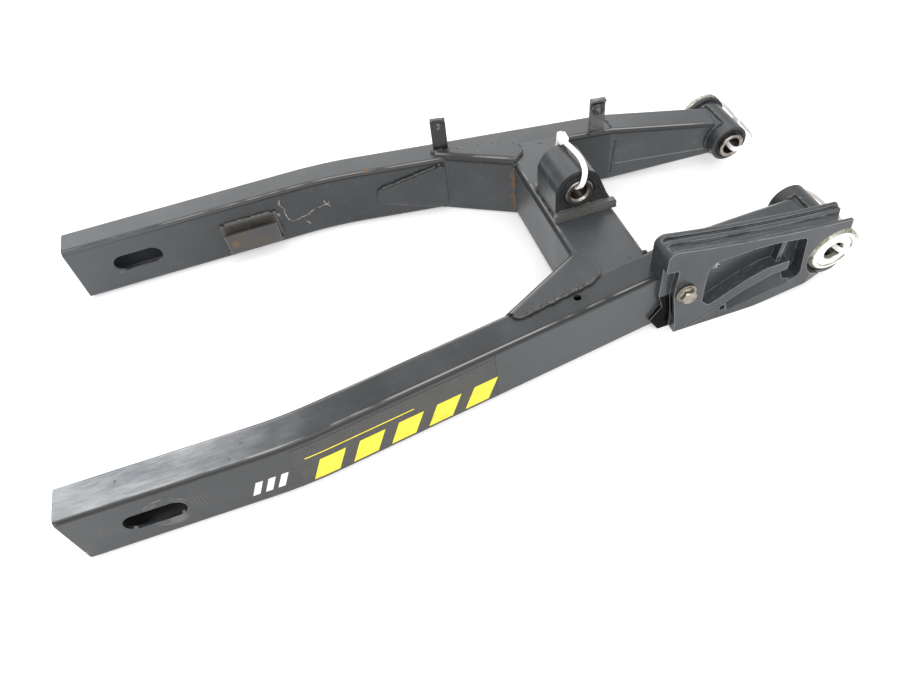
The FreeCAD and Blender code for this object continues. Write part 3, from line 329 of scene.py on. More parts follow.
def washer_arcs(paint):
    """Bright arcs and a rubbed patch that the axle washer left round a slot."""
    sideways = paint.math("POWER", paint.plus(paint.x, -WASHER_X), 2.0)
    upward = paint.math("POWER", paint.plus(paint.z, -SLOT_Z), 2.0)
    distance = paint.math("SQRT", paint.plus(sideways, upward))
    arcs = paint.either(*(paint.within(distance, inner * MM, outer * MM, soft * MM)
                          for inner, outer, soft in WASHER_RINGS))
    broken = paint.times(arcs, paint.ramp(paint.noise(110.0, 3.0), 0.46, 0.60))
    return paint.either(broken, paint.times(paint.near(spot(-469.0, -128.0, -9.5), 5 * MM, 4 * MM), 0.7))


def left_arm_paint():
    paint = Paint("left_arm_satin", 0.026, 0.30, dust=0.16, edge=0.75)
    upper = paint.times(paint.ramp(paint.nz, 0.8, 0.97), paint.ramp(paint.z, TOP - 0.0015, TOP - 0.0005))
    ragged = paint.plus(paint.x, paint.times(paint.plus(paint.noise(38.0, 5.0), -0.5), 0.09))
    worn = paint.times(upper, paint.ramp(ragged, REAR + 0.010, REAR + 0.190, 1.0, 0.0))
    worn_metal(paint, paint.times(worn, 0.9), 0.52)
    rear_edges = paint.times(paint.ramp(paint.x, REAR + 0.0006, REAR + 0.0025, 1.0, 0.0),
                             paint.ramp(paint.noise(300.0, 4.0), 0.56, 0.64))
    paint.lay(paint.times(rear_edges, 0.6), grey(0.30), rough=0.4, metal=0.5)
    outer = paint.ramp(paint.ny, -0.8, -0.97)
    paint.lay(paint.times(outer, paint.ramp(paint.x, -0.33, -0.18, 0.0, 0.6)), grey(0.062, COOL))
    for start in TICK_STARTS:
        ticks(paint, start)
    paint.lay(paint.times(outer, washer_arcs(paint), 0.7), grey(0.17), rough=0.42, metal=0.2)
    scuffs = paint.times(outer, paint.hairlines((120.0, 120.0, 700.0), 0.68, turn=(0, 0.5, 0)),
                         paint.ramp(paint.x, REAR + 0.14, REAR + 0.03))
    paint.lay(paint.times(scuffs, 0.35), grey(0.22), rough=0.5)
    paint.lay(paint.times(outer, paint.within(paint.x, -0.2566, -0.2560, 0.0004)), grey(0.008), rough=0.5)
    return paint.finish()


FAR_SCRATCHES = [((-362.0, 17.5), (-356.5, -5.0), 1.0), ((-355.5, -6.0), (-338.0, -2.0), 0.7),
                 ((-338.0, -2.0), (-323.0, 2.5), 0.6), ((-327.0, 5.0), (-321.5, -2.5), 0.8),
                 ((-346.0, -11.0), (-343.0, -13.5), 0.8), ((-366.0, 4.5), (-364.5, 3.0), 1.4)]


def right_arm_paint():
    paint = Paint("right_arm_satin", 0.030, 0.33, dust=0.22, edge=0.6)
    inner = paint.ramp(paint.ny, -0.8, -0.97)
    below_slot = paint.times(paint.within(paint.x, -0.497, -0.472, 0.006),
                             paint.within(paint.z, -0.0080, -0.0068, 0.0005))
    chips = paint.times(inner, below_slot, paint.ramp(paint.noise(420.0, 4.0), 0.52, 0.60))
    paint.lay(chips, grey(0.30, 0.02), rough=0.45, metal=0.5)
    # The whole arm is painted lighter towards its rear end: painted light.
    painted_light_to_rear = paint.ramp(paint.x, -0.36, REAR, 0.0, 0.55)
    paint.lay(painted_light_to_rear, grey(0.085, COOL))
    paint.rust(spot(-288.0, 100.5, 24.5), 2.4 * MM)
    for rear, front, width in FAR_SCRATCHES:
        start, end = (spot(x, inner_face("right_arm", x * MM).y / MM, z) for x, z in (rear, front))
        paint.lay(paint.times(paint.stroke(start, end, width * MM), 0.75), grey(0.30, 0.03), rough=0.5)
    return paint.finish()


def section_paint():
    """Front sections, with the seam that runs along each inner face, drawn raised and lighter: a painted
    highlight along its ridge.
    """
    paint = Paint("section_satin", 0.056, 0.36, dust=0.32, edge=0.8)
    side = paint.ramp(paint.math("ABSOLUTE", paint.ny), 0.7, 0.95)
    inward = paint.ramp(paint.math("ABSOLUTE", paint.y), 0.078, 0.074)
    # The seam is a raised line painted lighter grey: a painted highlight along its ridge.
    seam = paint.times(side, inward, paint.within(paint.x, -0.089, -0.014, 0.002),
                       paint.within(paint.z, -0.0080, -0.0072, 0.0006))
    paint.lay(paint.times(seam, 0.9), grey(0.20, 0.02), rough=0.4, depth=1.5)
    return paint.finish()


def plain_paint(name, tone, gloss, dust=0.25, edge=0.4, rust=(), specks=0.0, lines=0.0, tint=COOL,
                stain=0.0):
    """Paint of the smaller pieces, with the kinds of wear and painted light that are asked for: grime,
    lighter edge lines that are painted highlights, bright specks that are painted glints and rubbed spots,
    and rust.
    """
    paint = Paint(name, tone, gloss, dust, edge, tint)
    if stain > 0:
        grime = paint.ramp(paint.noise(120.0, 5.0, 0.7), 0.44, 0.60)
        paint.lay(paint.times(grime, stain), (0.075, 0.060, 0.040, 1.0), rough=0.6)
    # Lighter lines along sharp edges: painted highlights.
    if lines > 0:
        paint.lay(paint.times(paint.edge_line(0.8 * MM), lines), grey(0.26, 0.03), rough=0.34, metal=0.3)
    if specks > 0:
        paint.specks(specks)
    for centre, radius in rust:
        paint.rust(centre, radius)
    return paint.finish()


def cap_zinc():
    """Plated cap: bright face, and a side with pitted, yellowed plating."""
    finish = Finish("cap_bright_zinc")
    side = finish.ramp(finish.math("ABSOLUTE", finish.ny), 0.90, 0.80)
    patches = finish.ramp(finish.noise(150.0, 6.0, 0.75), 0.46, 0.62)
    pits = finish.ramp(finish.noise(420.0, 4.0, 0.7), 0.60, 0.67)
    face = finish.blend(finish.ramp(finish.noise(200.0, 4.0), 0.5, 0.75), grey(0.95), grey(0.80, 0.01))
    yellowed = finish.blend(patches, (0.44, 0.44, 0.38, 1.0), (0.17, 0.15, 0.09, 1.0))
    yellowed = finish.blend(pits, yellowed, (0.05, 0.04, 0.025, 1.0))
    finish.put(colour=finish.blend(side, face, yellowed), metallic=0.45,
               roughness=finish.ramp(patches, 0.0, 1.0, 0.30, 0.46))
    finish.bump(finish.plus(finish.times(patches, 0.4), finish.times(pits, -0.9)), 0.00012)
    return finish.material


TURNING_LINES = (900.0, 60.0, 900.0)


def metal(name, tone, rough, metallic=1.0, stain=0.3, warmth=0.0):
    """Machined or plated metal with turning lines, stains and a little grime."""
    finish = Finish(name)
    lines = finish.noise(1.0, 3.0, 0.6, finish.stretched(TURNING_LINES))
    blotches = finish.ramp(finish.noise(140.0, 5.0, 0.7), 0.42, 0.7)
    grime = finish.ramp(finish.noise(320.0, 4.0, 0.7), 0.55, 0.72)
    base = finish.blend(blotches, grey(tone, warmth), grey(tone * 0.62, warmth + 0.05))
    base = finish.blend(finish.times(grime, stain), base, (0.10, 0.075, 0.05, 1.0))
    finish.put(colour=base, metallic=metallic,
               roughness=finish.plus(finish.ramp(blotches, 0.0, 1.0, rough, rough + 0.16),
                                     finish.times(grime, 0.2)))
    finish.bump(finish.plus(finish.times(lines, 0.5), finish.times(grime, 0.8)), 0.00008)
    return finish.material


def rubber(name, tone):
    finish = Finish(name)
    grain = finish.noise(1300.0, 2.0)
    dusty = finish.ramp(finish.noise(240.0, 5.0, 0.7), 0.48, 0.75)
    finish.put(colour=finish.blend(finish.times(dusty, 0.35), grey(tone), grey(0.16, 0.05)),
               roughness=finish.ramp(grain, 0.3, 0.7, 0.42, 0.62))
    finish.bump(grain, 0.0001)
    return finish.material


SLIDER_SCUFF = [((-95.5, 16.5), (-89.5, 21.0)), ((-94.0, 20.5), (-89.0, 18.0)),
                ((-92.0, 16.5), (-91.0, 21.5))]


def moulded_plastic():
    """Slider: dark moulded plastic, polished by the chain on top and scuffed on its side."""
    paint = Paint("slider_moulding", 0.040, 0.26, dust=0.14, edge=0.0)
    top = paint.ramp(paint.nz, 0.6, 0.95)
    polish = paint.hairlines((24.0, 700.0, 400.0), 0.52)
    paint.lay(paint.times(top, 0.5), paint.blend(polish, grey(0.06, COOL), grey(0.12)), rough=0.34)
    side = paint.ramp(paint.ny, -0.7, -0.95)
    scuffs = paint.times(side, paint.hairlines((260.0, 40.0, 90.0), 0.70, turn=(0, 0.9, 0)))
    paint.lay(paint.times(scuffs, 0.4), grey(0.18), rough=0.5)
    # The rear recess of the slider is painted near black and glossy: painted shade.
    step = paint.times(paint.within(paint.x, -0.150, -0.1235, 0.001), paint.ramp(paint.y, -0.0985, -0.0970),
                       paint.within(paint.z, -0.030, 0.0085, 0.002))
    paint.lay(step, grey(0.003, COOL), rough=0.14, sheen=0.03)
    # Lighter broken lines along the sharp edges: painted highlights.
    painted_edge_highlight = paint.times(paint.edge_line(1.1 * MM), paint.ramp(paint.noise(60.0, 4.0), 0.30, 0.50))
    paint.lay(paint.times(painted_edge_highlight, 0.55), grey(0.40), rough=0.28)
    for rear, front in SLIDER_SCUFF:
        start, end = (probe("chain_slider", (x * MM, -0.2, z * MM), (0, 1, 0)) for x, z in (rear, front))
        paint.lay(paint.times(paint.stroke(start, end, 0.9 * MM), 0.9), grey(0.45), rough=0.5)
    return paint.finish()


def glowing_nylon():
    finish = Finish("tie_nylon")
    cloud = finish.noise(300.0, 3.0)
    # The white nylon is given a faint glow: painted light, so it stays white on the bright floor.
    finish.put(colour=finish.blend(cloud, (0.95, 0.95, 0.93, 1.0), (0.88, 0.88, 0.86, 1.0)),
               roughness=finish.ramp(cloud, 0.3, 0.7, 0.32, 0.48), subsurface=0.15, glow=0.18)
    finish.bump(finish.noise(1800.0), 0.00005)
    return finish.material


def film(name, colour, rough):
    """Vinyl film with fine scratches and a few lifted specks."""
    finish = Finish(name)
    cloud = finish.noise(120.0, 4.0)
    specks = finish.ramp(finish.noise(900.0, 3.0), 0.68, 0.74)
    darker = tuple(channel * 0.82 for channel in colour[:3]) + (1.0,)
    base = finish.blend(finish.ramp(cloud, 0.4, 0.7), colour, darker)
    finish.put(colour=finish.blend(specks, base, grey(0.08)),
               roughness=finish.ramp(cloud, 0.3, 0.7, rough, rough + 0.12))
    finish.bump(finish.noise(500.0, 3.0), 0.00006)
    return finish.material


def dress(material, *nodes):
    """Gives CAD nodes one finish."""
    for name in nodes:
        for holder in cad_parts[name].material_slots:
            holder.material = material


CORNER_RUST = [(spot(-179.5, 58.0, 13.0), 3.4 * MM), (spot(-179.5, 58.0, 5.0), 3.0 * MM),
               (spot(-179.0, 58.0, -7.0), 3.4 * MM), (spot(-179.0, 57.0, -15.0), 4.0 * MM)]


def dress_frame():
    dress(left_arm_paint(), "left_arm")
    dress(right_arm_paint(), "right_arm")
    dress(plain_paint("cross_satin", 0.052, 0.36), "cross_tube")
    dress(section_paint(), "left_front_section", "right_front_section")
    dress(plain_paint("gusset_satin", 0.036, 0.36, edge=0.5, rust=CORNER_RUST, lines=0.25),
          "left_gusset", "right_gusset", "right_gusset_tongue")
    dress(plain_paint("pivot_satin", 0.035, 0.36, edge=0.0), "left_pivot_tube", "right_pivot_tube")
    dress(plain_paint("boss_satin", 0.036, 0.30, dust=0.25, edge=0.0), "link_saddle", "link_bearing_tube",
          "link_end_plates")
    dress(plain_paint("strip_satin", 0.12, 0.44, dust=0.6, edge=0.0, specks=0.3, tint=0.03, stain=0.3),
          "link_foot_strips")
    dress(plain_paint("rail_satin", 0.055, 0.42, dust=0.9, edge=0.0, lines=0.8, tint=0.0, stain=0.6,
                      rust=[(spot(-404.0, 96.0, -6.0), 3.2 * MM)]), "caliper_rail")
    dress(plain_paint("guide_gloss", 0.010, 0.20, dust=0.06, edge=0.0, lines=0.4), "rear_hose_guide")
    dress(metal("guide_rubbed", 0.16, 0.42, metallic=0.55), "front_hose_guide")
    dress(metal("nut_dull", 0.09, 0.45, metallic=0.7, stain=0.6), "hose_guide_nuts", "slider_nut")
    dress(metal("sleeve_ground", 0.27, 0.26, stain=0.6, warmth=0.09),
          "left_pivot_sleeve", "right_pivot_sleeve", "link_sleeve")
    dress(metal("cup_steel", 0.42, 0.3, stain=0.4, warmth=0.04),
          "left_needle_cup", "right_needle_cup", "link_needle_cup",
          "left_rollers", "right_rollers", "link_rollers")
    dress(rubber("seal_black", 0.018),
          "left_inner_seal", "right_inner_seal", "link_seals", "left_dust_seal", "right_dust_seal")
    dress(cap_zinc(), "left_pivot_cap", "right_pivot_cap")
    dress(metal("bolt_dull_zinc", 0.34, 0.36, stain=0.7, warmth=0.12), "slider_bolt", "slider_washer")
    dress(moulded_plastic(), "chain_slider")


# Mesh pieces

def keep(name, mesh, material, smooth=True):
    """Finished piece from a bmesh, which rides on the arm."""
    bmesh.ops.recalc_face_normals(mesh, faces=mesh.faces)
    data = bpy.data.meshes.new(name)
    mesh.to_mesh(data)
    mesh.free()
    data.materials.append(material)
    for polygon in data.polygons:
        polygon.use_smooth = smooth
    piece = bpy.data.objects.new(name, data)
    bpy.context.scene.collection.objects.link(piece)
    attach(piece, BODY)


def resampled(points, step):
    """Points at even steps along a run of straight stretches."""
    spaced = [points[0]]
    left = step
    for start, end in zip(points[:-1], points[1:]):
        length = (end - start).length
        travelled = left
        while travelled < length:
            spaced.append(start.lerp(end, travelled / length))
            travelled += step
        left = travelled - length
    spaced.append(points[-1])
    return spaced


BEAD_STEP = 0.65 * MM
BEAD_RIPPLE = 2.6 * MM
BEAD_SIDES = 8


def lay_bead(mesh, points, radius):
    """Weld bead: a tube along the joint that swells at each ripple, with uneven width and closed ends."""
    line = resampled(points, BEAD_STEP)
    seed = (points[0].x * 7.0 + points[0].y * 13.0 + points[0].z * 29.0) * 100.0
    rings = []
    for index, place in enumerate(line):
        ahead = line[min(index + 1, len(line) - 1)] - line[max(index - 1, 0)]
        ahead.normalize()
        side = ahead.cross(Vector((0, 0, 1)))
        if side.length < 0.3:
            side = ahead.cross(Vector((0, 1, 0)))
        side.normalize()
        up = side.cross(ahead)
        travelled = index * BEAD_STEP
        ripple = abs(math.sin(math.pi * travelled / BEAD_RIPPLE))
        wander = math.sin(travelled * 410.0 + seed) * 0.5 + math.sin(travelled * 1130.0 + seed * 2.3) * 0.5
        size = radius * (0.84 + 0.14 * ripple + 0.15 * wander)
        size *= min(1.0, 0.35 + index * 0.25, 0.35 + (len(line) - 1 - index) * 0.25)
        sway = math.sin(travelled * 620.0 + seed)
        centre = place + up * (radius * 0.12 * wander) + side * (radius * 0.12 * sway)
        ring = []
        for corner in range(BEAD_SIDES):
            angle = 2 * math.pi * corner / BEAD_SIDES
            offset = side * math.cos(angle) + up * math.sin(angle)
            ring.append(mesh.verts.new(centre + offset * size))
        rings.append(ring)
    for first, second in zip(rings[:-1], rings[1:]):
        for corner in range(BEAD_SIDES):
            following = (corner + 1) % BEAD_SIDES
            mesh.faces.new((first[corner], first[following], second[following], second[corner]))
    mesh.faces.new(rings[0])
    mesh.faces.new(list(reversed(rings[-1])))


def weld(name, runs, radius, material):
    """One piece of welding, made of a bead along each run."""
    mesh = bmesh.new()
    for run in runs:
        lay_bead(mesh, run, radius)
    keep(name, mesh, material)


def upright(x, y, below_top, above_bottom):
    """Run down a wall, between the heights of the arm's top and bottom."""
    return [Vector((x, y, TOP - below_top)), Vector((x, y, BOTTOM + above_bottom))]


def lengthwise(rear, front, y, z):
    return [Vector((rear, y, z)), Vector((front, y, z))]


def crosswise(x, near, far, z):
    return [Vector((x, near, z)), Vector((x, far, z))]


def inner_face(node, x):
    """Point of an arm's inner face at a station."""
    toward = -1.0 if node.startswith("left") else 1.0
    return probe(node, (x, 0.0, 0.0), (0, toward, 0))


def top_outline(node):
    """Corners of a gusset's top plate, from its rear tip along the arm side and over the cross tube."""
    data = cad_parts[node].data
    high = max(vertex.co.z for vertex in data.vertices)
    flat = sorted({(round(v.co.x, 6), round(v.co.y, 6)) for v in data.vertices if v.co.z > high - 0.1 * MM})

    def half_hull(places):
        chain = []
        for place in places:
            while len(chain) > 1 and cross(chain[-2], chain[-1], place) <= 0:
                chain.pop()
            chain.append(place)
        return chain

    def cross(a, b, c):
        return (b[0] - a[0]) * (c[1] - a[1]) - (b[1] - a[1]) * (c[0] - a[0])

    loop = half_hull(flat)[:-1] + half_hull(flat[::-1])[:-1]
    if flat[0][1] > 0:
        loop = [loop[0]] + loop[:0:-1]
    corner = min(range(len(loop)), key=lambda index: abs(loop[index][1]))
    return loop[:corner + 1]


WALL_BEAD_TOP = 3 * MM
WALL_BEAD_BOTTOM = 2 * MM


def gusset_welds(node, name, radius, material):
    """Beads round a gusset's top plate and down both ends of its wall."""
    outline = top_outline(node)
    level = TOP + 0.9 * MM
    plate_run = [Vector((x, y, level)) for x, y in outline]
    tip = plate_run[0]
    corner = plate_run[-1]
    arm = "left_arm" if node.startswith("left") else "right_arm"
    foot = inner_face(arm, tip.x)
    wall_rear = upright(tip.x - 1 * MM, foot.y, WALL_BEAD_TOP, WALL_BEAD_BOTTOM)
    inset = 1.5 * MM * (1 if tip.y < 0 else -1)
    wall_front = upright(CROSS_LOW[0], corner.y + inset, WALL_BEAD_TOP, WALL_BEAD_BOTTOM)
    weld(name, [plate_run, wall_rear, wall_front], radius, material)


COPE_RADIUS = 15.4 * MM
COPE_STEPS = 24
COPE_TOP = 100
COPE_BOTTOM = 260


def cope_run(start, end, y):
    """Arc round a pivot tube, with angles from +X towards +Z."""
    run = []
    for index in range(COPE_STEPS + 1):
        angle = math.radians(start + (end - start) * index / COPE_STEPS)
        run.append(Vector((COPE_RADIUS * math.cos(angle), y, COPE_RADIUS * math.sin(angle))))
    return run


SECTION_JOINT_X = -92.0 * MM
SECTION_CORNER = 3 * MM
SECTION_TIP_Y = 61.3 * MM
SECTION_HALF_WIDTH = 12.7 * MM


def section_weld(side):
    """Bead over the joint between an arm and its tapered front section."""
    inner = inner_face(side + "_arm", SECTION_JOINT_X - 0.004)
    outward = -1.0 if side == "left" else 1.0
    near_y = inner.y + outward * 0.0005
    far_y = inner.y + outward * 0.025
    inset = outward * SECTION_CORNER
    across = crosswise(SECTION_JOINT_X, near_y + inset, far_y - inset, TOP)
    return across + upright(SECTION_JOINT_X, far_y, SECTION_CORNER, SECTION_CORNER)


def section_upright(side):
    """Lumpy upright bead on the inner face of the same joint."""
    inner = inner_face(side + "_arm", SECTION_JOINT_X - 0.004)
    x = SECTION_JOINT_X + 0.002
    return [Vector((x + 1 * MM, inner.y, TOP - 8 * MM)), Vector((x, inner.y, 0.0)),
            Vector((x - 1 * MM, inner.y, BOTTOM + 7 * MM))]


def pivot_weld(side):
    """Bead where a front section is coped to its pivot tube."""
    centre_y = -SECTION_TIP_Y if side == "left" else SECTION_TIP_Y
    first = cope_run(COPE_TOP, COPE_BOTTOM, centre_y - SECTION_HALF_WIDTH)
    second = cope_run(COPE_BOTTOM, COPE_TOP, centre_y + SECTION_HALF_WIDTH)
    return first + second + [first[0]]


def cross_weld(node):
    """Bead round the cross tube's end, on the arm's inner face."""
    run = []
    lift = 0.6 * MM
    for x, z in ((CROSS_LOW[0], TOP + lift - 0.002), (CROSS_HIGH[0], TOP + lift - 0.002),
                 (CROSS_HIGH[0], BOTTOM - lift + 0.002), (CROSS_LOW[0], BOTTOM - lift + 0.002)):
        face = inner_face(node, max(min(x, CROSS_HIGH[0]), CROSS_LOW[0]))
        run.append(Vector((x, face.y, z)))
    return run + [run[0]]


def boss_runs():
    """Beads round the foot of the linkage pivot and along its strips."""
    level = TOP + 0.4 * MM
    near = STRIPS_LOW[1] - 0.3 * MM
    far = STRIPS_HIGH[1] + 0.3 * MM
    rear = BOSS_LOW[0] - 0.4 * MM
    front = BOSS_HIGH[0] + 0.6 * MM
    strip_top = STRIPS_HIGH[2]
    base = [lengthwise(STRIPS_LOW[0], STRIPS_HIGH[0], near, level),
            lengthwise(STRIPS_LOW[0], STRIPS_HIGH[0], far, level),
            crosswise(rear, near + 4 * MM, far - 4 * MM, level),
            crosswise(front, near + 4 * MM, far - 4 * MM, level)]
    upper = [lengthwise(BOSS_LOW[0] + 2 * MM, BOSS_HIGH[0] - 6 * MM, y, strip_top)
             for y in (BOSS_LOW[1], BOSS_HIGH[1])]
    return base, upper


GUIDE_BEAD_OUT = 1.6 * MM


def guide_run(node):
    """Thick bead round the foot of a hose guide."""
    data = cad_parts[node].data
    low = min(vertex.co.z for vertex in data.vertices)
    feet = [vertex.co for vertex in data.vertices if vertex.co.z < low + 0.2 * MM]
    order = sorted(feet, key=lambda place: place.x)
    first, last = order[0], order[-1]
    across = (last - first).normalized()
    out = Vector((-across.y, across.x, 0)) * GUIDE_BEAD_OUT
    first = Vector((first.x, first.y, TOP + 0.4 * MM))
    last = Vector((last.x, last.y, TOP + 0.4 * MM))
    return [first - out, last - out, last + out, first + out, first - out]


def rail_runs():
    """Beads down the ends of the caliper rail, below it and along its top."""
    y = RAIL_HIGH[1] - 1 * MM
    low = RAIL_LOW[2]
    runs = []
    for x in (RAIL_LOW[0] - 0.8 * MM, RAIL_HIGH[0] + 0.8 * MM):
        runs.append([Vector((x, y, RAIL_HIGH[2] + 1 * MM)), Vector((x, y, low - 1 * MM))])
        runs.append([Vector((x, y, low)), Vector((x, RAIL_LOW[1] + 2 * MM, low + 1 * MM))])
    top = RAIL_HIGH[2] + 0.4 * MM
    runs.append(lengthwise(RAIL_LOW[0] + 2 * MM, RAIL_HIGH[0] - 2 * MM, RAIL_HIGH[1] - 0.6 * MM, top))
    return runs


TONGUE_STEPS = 12
TONGUE_LIFT = Vector((0, 0, 0.5 * MM))


def tongue_run():
    """Bead round the gusset's tongue, along its top, round its rear end and back below it."""
    low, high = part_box("right_gusset_tongue")
    above = []
    below = []
    for index in range(TONGUE_STEPS):
        x = high[0] - 6 * MM + (low[0] - high[0] + 7 * MM) * index / (TONGUE_STEPS - 1)
        y = inner_face("right_arm", x).y - 1.0 * MM
        above.append(probe("right_gusset_tongue", (x, y, 0.06), (0, 0, -1)) + TONGUE_LIFT)
        below.append(probe("right_gusset_tongue", (x, y, -0.06), (0, 0, 1)) - TONGUE_LIFT)
    return above + below[::-1]


def lay_welds():
    painted = plain_paint("weld_satin", 0.050, 0.40, dust=0.3, edge=0.0, specks=0.35, tint=-0.03)
    # Welds with many bright specks: painted glints as well as rubbed spots.
    bright = plain_paint("weld_rubbed_glinting", 0.070, 0.40, dust=0.4, edge=0.0, specks=0.9, tint=0.0)
    rusty = plain_paint("weld_rusted", 0.052, 0.42, dust=0.4, edge=0.0, rust=CORNER_RUST, specks=0.4,
                        tint=0.0)
    pale = plain_paint("weld_rail", 0.10, 0.46, dust=0.6, edge=0.0, specks=0.3, tint=0.03, stain=0.4)
    gusset_welds("left_gusset", "weld_left_gusset", 1.6 * MM, bright)
    gusset_welds("right_gusset", "weld_right_gusset", 1.8 * MM, rusty)
    weld("weld_cross_tube", [cross_weld("left_arm"), cross_weld("right_arm")], 1.6 * MM, painted)
    weld("weld_front_sections", [section_weld("left"), section_weld("right")], 1.0 * MM, painted)
    weld("weld_section_uprights", [section_upright("left"), section_upright("right")], 2.3 * MM, painted)
    weld("weld_pivot_tubes", [pivot_weld("left"), pivot_weld("right")], 1.2 * MM, painted)
    base, upper = boss_runs()
    weld("weld_boss_foot", base, 0.8 * MM, painted)
    weld("weld_boss_strips", upper, 0.9 * MM, painted)
    weld("weld_rear_guide", [guide_run("rear_hose_guide")], 2.6 * MM, bright)
    weld("weld_front_guide", [guide_run("front_hose_guide")], 1.2 * MM, painted)
    weld("weld_caliper_rail", rail_runs(), 1.5 * MM, pale)
    weld("weld_tongue", [tongue_run()], 1.5 * MM, painted)


# Film stripes on the near arm's outer face

FILM_THICKNESS = 0.12 * MM
FILM_LIFT = 0.02 * MM
STRIPE_LIFT = 0.16 * MM
FILM_ROWS = 2


def outer_face(x, z):
    return probe("left_arm", (x, -0.2, z), (0, 1, 0)).y


def join_rows(mesh, first, second):
    for corners in zip(first, first[1:], second[1:], second):
        mesh.faces.new(corners)


def lay_film(name, corners, lift, material, columns=14):
    """Thin film that follows the arm's face over four (x, z) corners.

    The corners are rear low, front low, front high and rear high."""
    mesh = bmesh.new()
    layers = []
    for depth in (lift, lift + FILM_THICKNESS):
        rows = []
        for row in range(FILM_ROWS + 1):
            line = []
            for column in range(columns + 1):
                along = column / columns
                low = corners[0].lerp(corners[1], along)
                high = corners[3].lerp(corners[2], along)
                place = low.lerp(high, row / FILM_ROWS)
                line.append(mesh.verts.new((place.x, outer_face(place.x, place.y) - depth, place.y)))
            rows.append(line)
        layers.append(rows)
    below, above = layers
    for row in range(FILM_ROWS):
        join_rows(mesh, above[row], above[row + 1])
        join_rows(mesh, below[row + 1], below[row])
        mesh.faces.new((below[row + 1][0], below[row][0], above[row][0], above[row + 1][0]))
        mesh.faces.new((below[row][-1], below[row + 1][-1], above[row + 1][-1], above[row][-1]))
    join_rows(mesh, below[0], above[0])
    join_rows(mesh, above[-1], below[-1])
    keep(name, mesh, material, smooth=False)


def flat_corners(rear_x, front_x, low_z, high_z, lean=0.0):
    """Corners of a slanted bar, in metres, from millimetres."""
    corners = ((rear_x, low_z), (front_x, low_z), (front_x + lean, high_z), (rear_x + lean, high_z))
    return [Vector(corner) * MM for corner in corners]


BAR_COUNT = 5
BAR_PITCH = 26.4
BAR_WIDTH = 17.0
BAR_REAR_X = -386.0
MARK_COUNT = 3
MARK_PITCH = 8.0
MARK_WIDTH = 4.5
MARK_REAR_X = -424.0


def lay_stripes():
    yellow = film("stripe_yellow", (0.90, 0.74, 0.03, 1.0), 0.3)
    white = film("mark_white", (0.78, 0.79, 0.78, 1.0), 0.35)
    black = film("film_black", grey(0.030), 0.22)
    lay_film("film_sheet", flat_corners(-392.0, -257.0, -21.0, 19.5), FILM_LIFT, black, columns=40)
    for index in range(BAR_COUNT):
        rear = BAR_REAR_X + index * BAR_PITCH
        corners = flat_corners(rear, rear + BAR_WIDTH, -19.0, 0.0, lean=8.0)
        lay_film(f"stripe_bar_{index + 1}", corners, STRIPE_LIFT, yellow)
    lay_film("stripe_pinline", flat_corners(BAR_REAR_X, -314.0, 6.5, 7.4), STRIPE_LIFT, yellow, columns=30)
    for index in range(MARK_COUNT):
        rear = MARK_REAR_X + index * MARK_PITCH
        corners = flat_corners(rear, rear + MARK_WIDTH, -13.0, 0.0, lean=5.5)
        lay_film(f"mark_bar_{index + 1}", corners, FILM_LIFT, white)


# Nylon ties

TIE_WIDTH = 3.6 * MM
TIE_THICKNESS = 1.1 * MM
TIE_HEAD = (6.4 * MM, 7.4 * MM, 4.8 * MM)
TIE_TAIL = (TIE_WIDTH * 0.95, 3.4 * MM, TIE_THICKNESS)
TIE_TAIL_PLACE = Vector((0, 4.4 * MM, 0.4 * MM))
LOOP_PARTS = 14


def smooth_loop(points):
    """Closed smooth line through given points."""
    count = len(points)
    line = []
    for index in range(count):
        a, b, c, d = (points[(index + shift) % count] for shift in (-1, 0, 1, 2))
        for part in range(LOOP_PARTS):
            t = part / LOOP_PARTS
            line.append(0.5 * ((2 * b) + (c - a) * t + (2 * a - 5 * b + 4 * c - d) * t * t
                               + (3 * b - a - 3 * c + d) * t ** 3))
    return line


def add_block(mesh, place, turn, size):
    corners = bmesh.ops.create_cube(mesh, size=1.0)["verts"]
    shape = Matrix.Diagonal((*size, 1.0))
    bmesh.ops.transform(mesh, matrix=Matrix.Translation(place) @ turn @ shape, verts=corners)
    return corners


def lay_tie(name, points, across, head_place, head_turn, material):
    """Strap swept round a loop, with the locking head it passes through and the cut-off tail."""
    mesh = bmesh.new()
    line = smooth_loop(points)
    rings = []
    for index, place in enumerate(line):
        ahead = (line[(index + 1) % len(line)] - line[index - 1]).normalized()
        width = (across - ahead * across.dot(ahead)).normalized() * (TIE_WIDTH / 2)
        thick = ahead.cross(width).normalized() * (TIE_THICKNESS / 2)
        rings.append([mesh.verts.new(place + width + thick), mesh.verts.new(place - width + thick),
                      mesh.verts.new(place - width - thick), mesh.verts.new(place + width - thick)])
    for index, ring in enumerate(rings):
        following = rings[(index + 1) % len(rings)]
        for corner in range(4):
            after = (corner + 1) % 4
            mesh.faces.new((ring[corner], ring[after], following[after], following[corner]))
    head = add_block(mesh, head_place, head_turn, TIE_HEAD)
    edges = [edge for edge in mesh.edges if edge.verts[0] in head and edge.verts[1] in head]
    bmesh.ops.bevel(mesh, geom=edges, offset=0.7 * MM, segments=2, affect="EDGES", profile=0.6)
    add_block(mesh, head_place + head_turn @ TIE_TAIL_PLACE, head_turn, TIE_TAIL)
    keep(name, mesh, material, smooth=False)


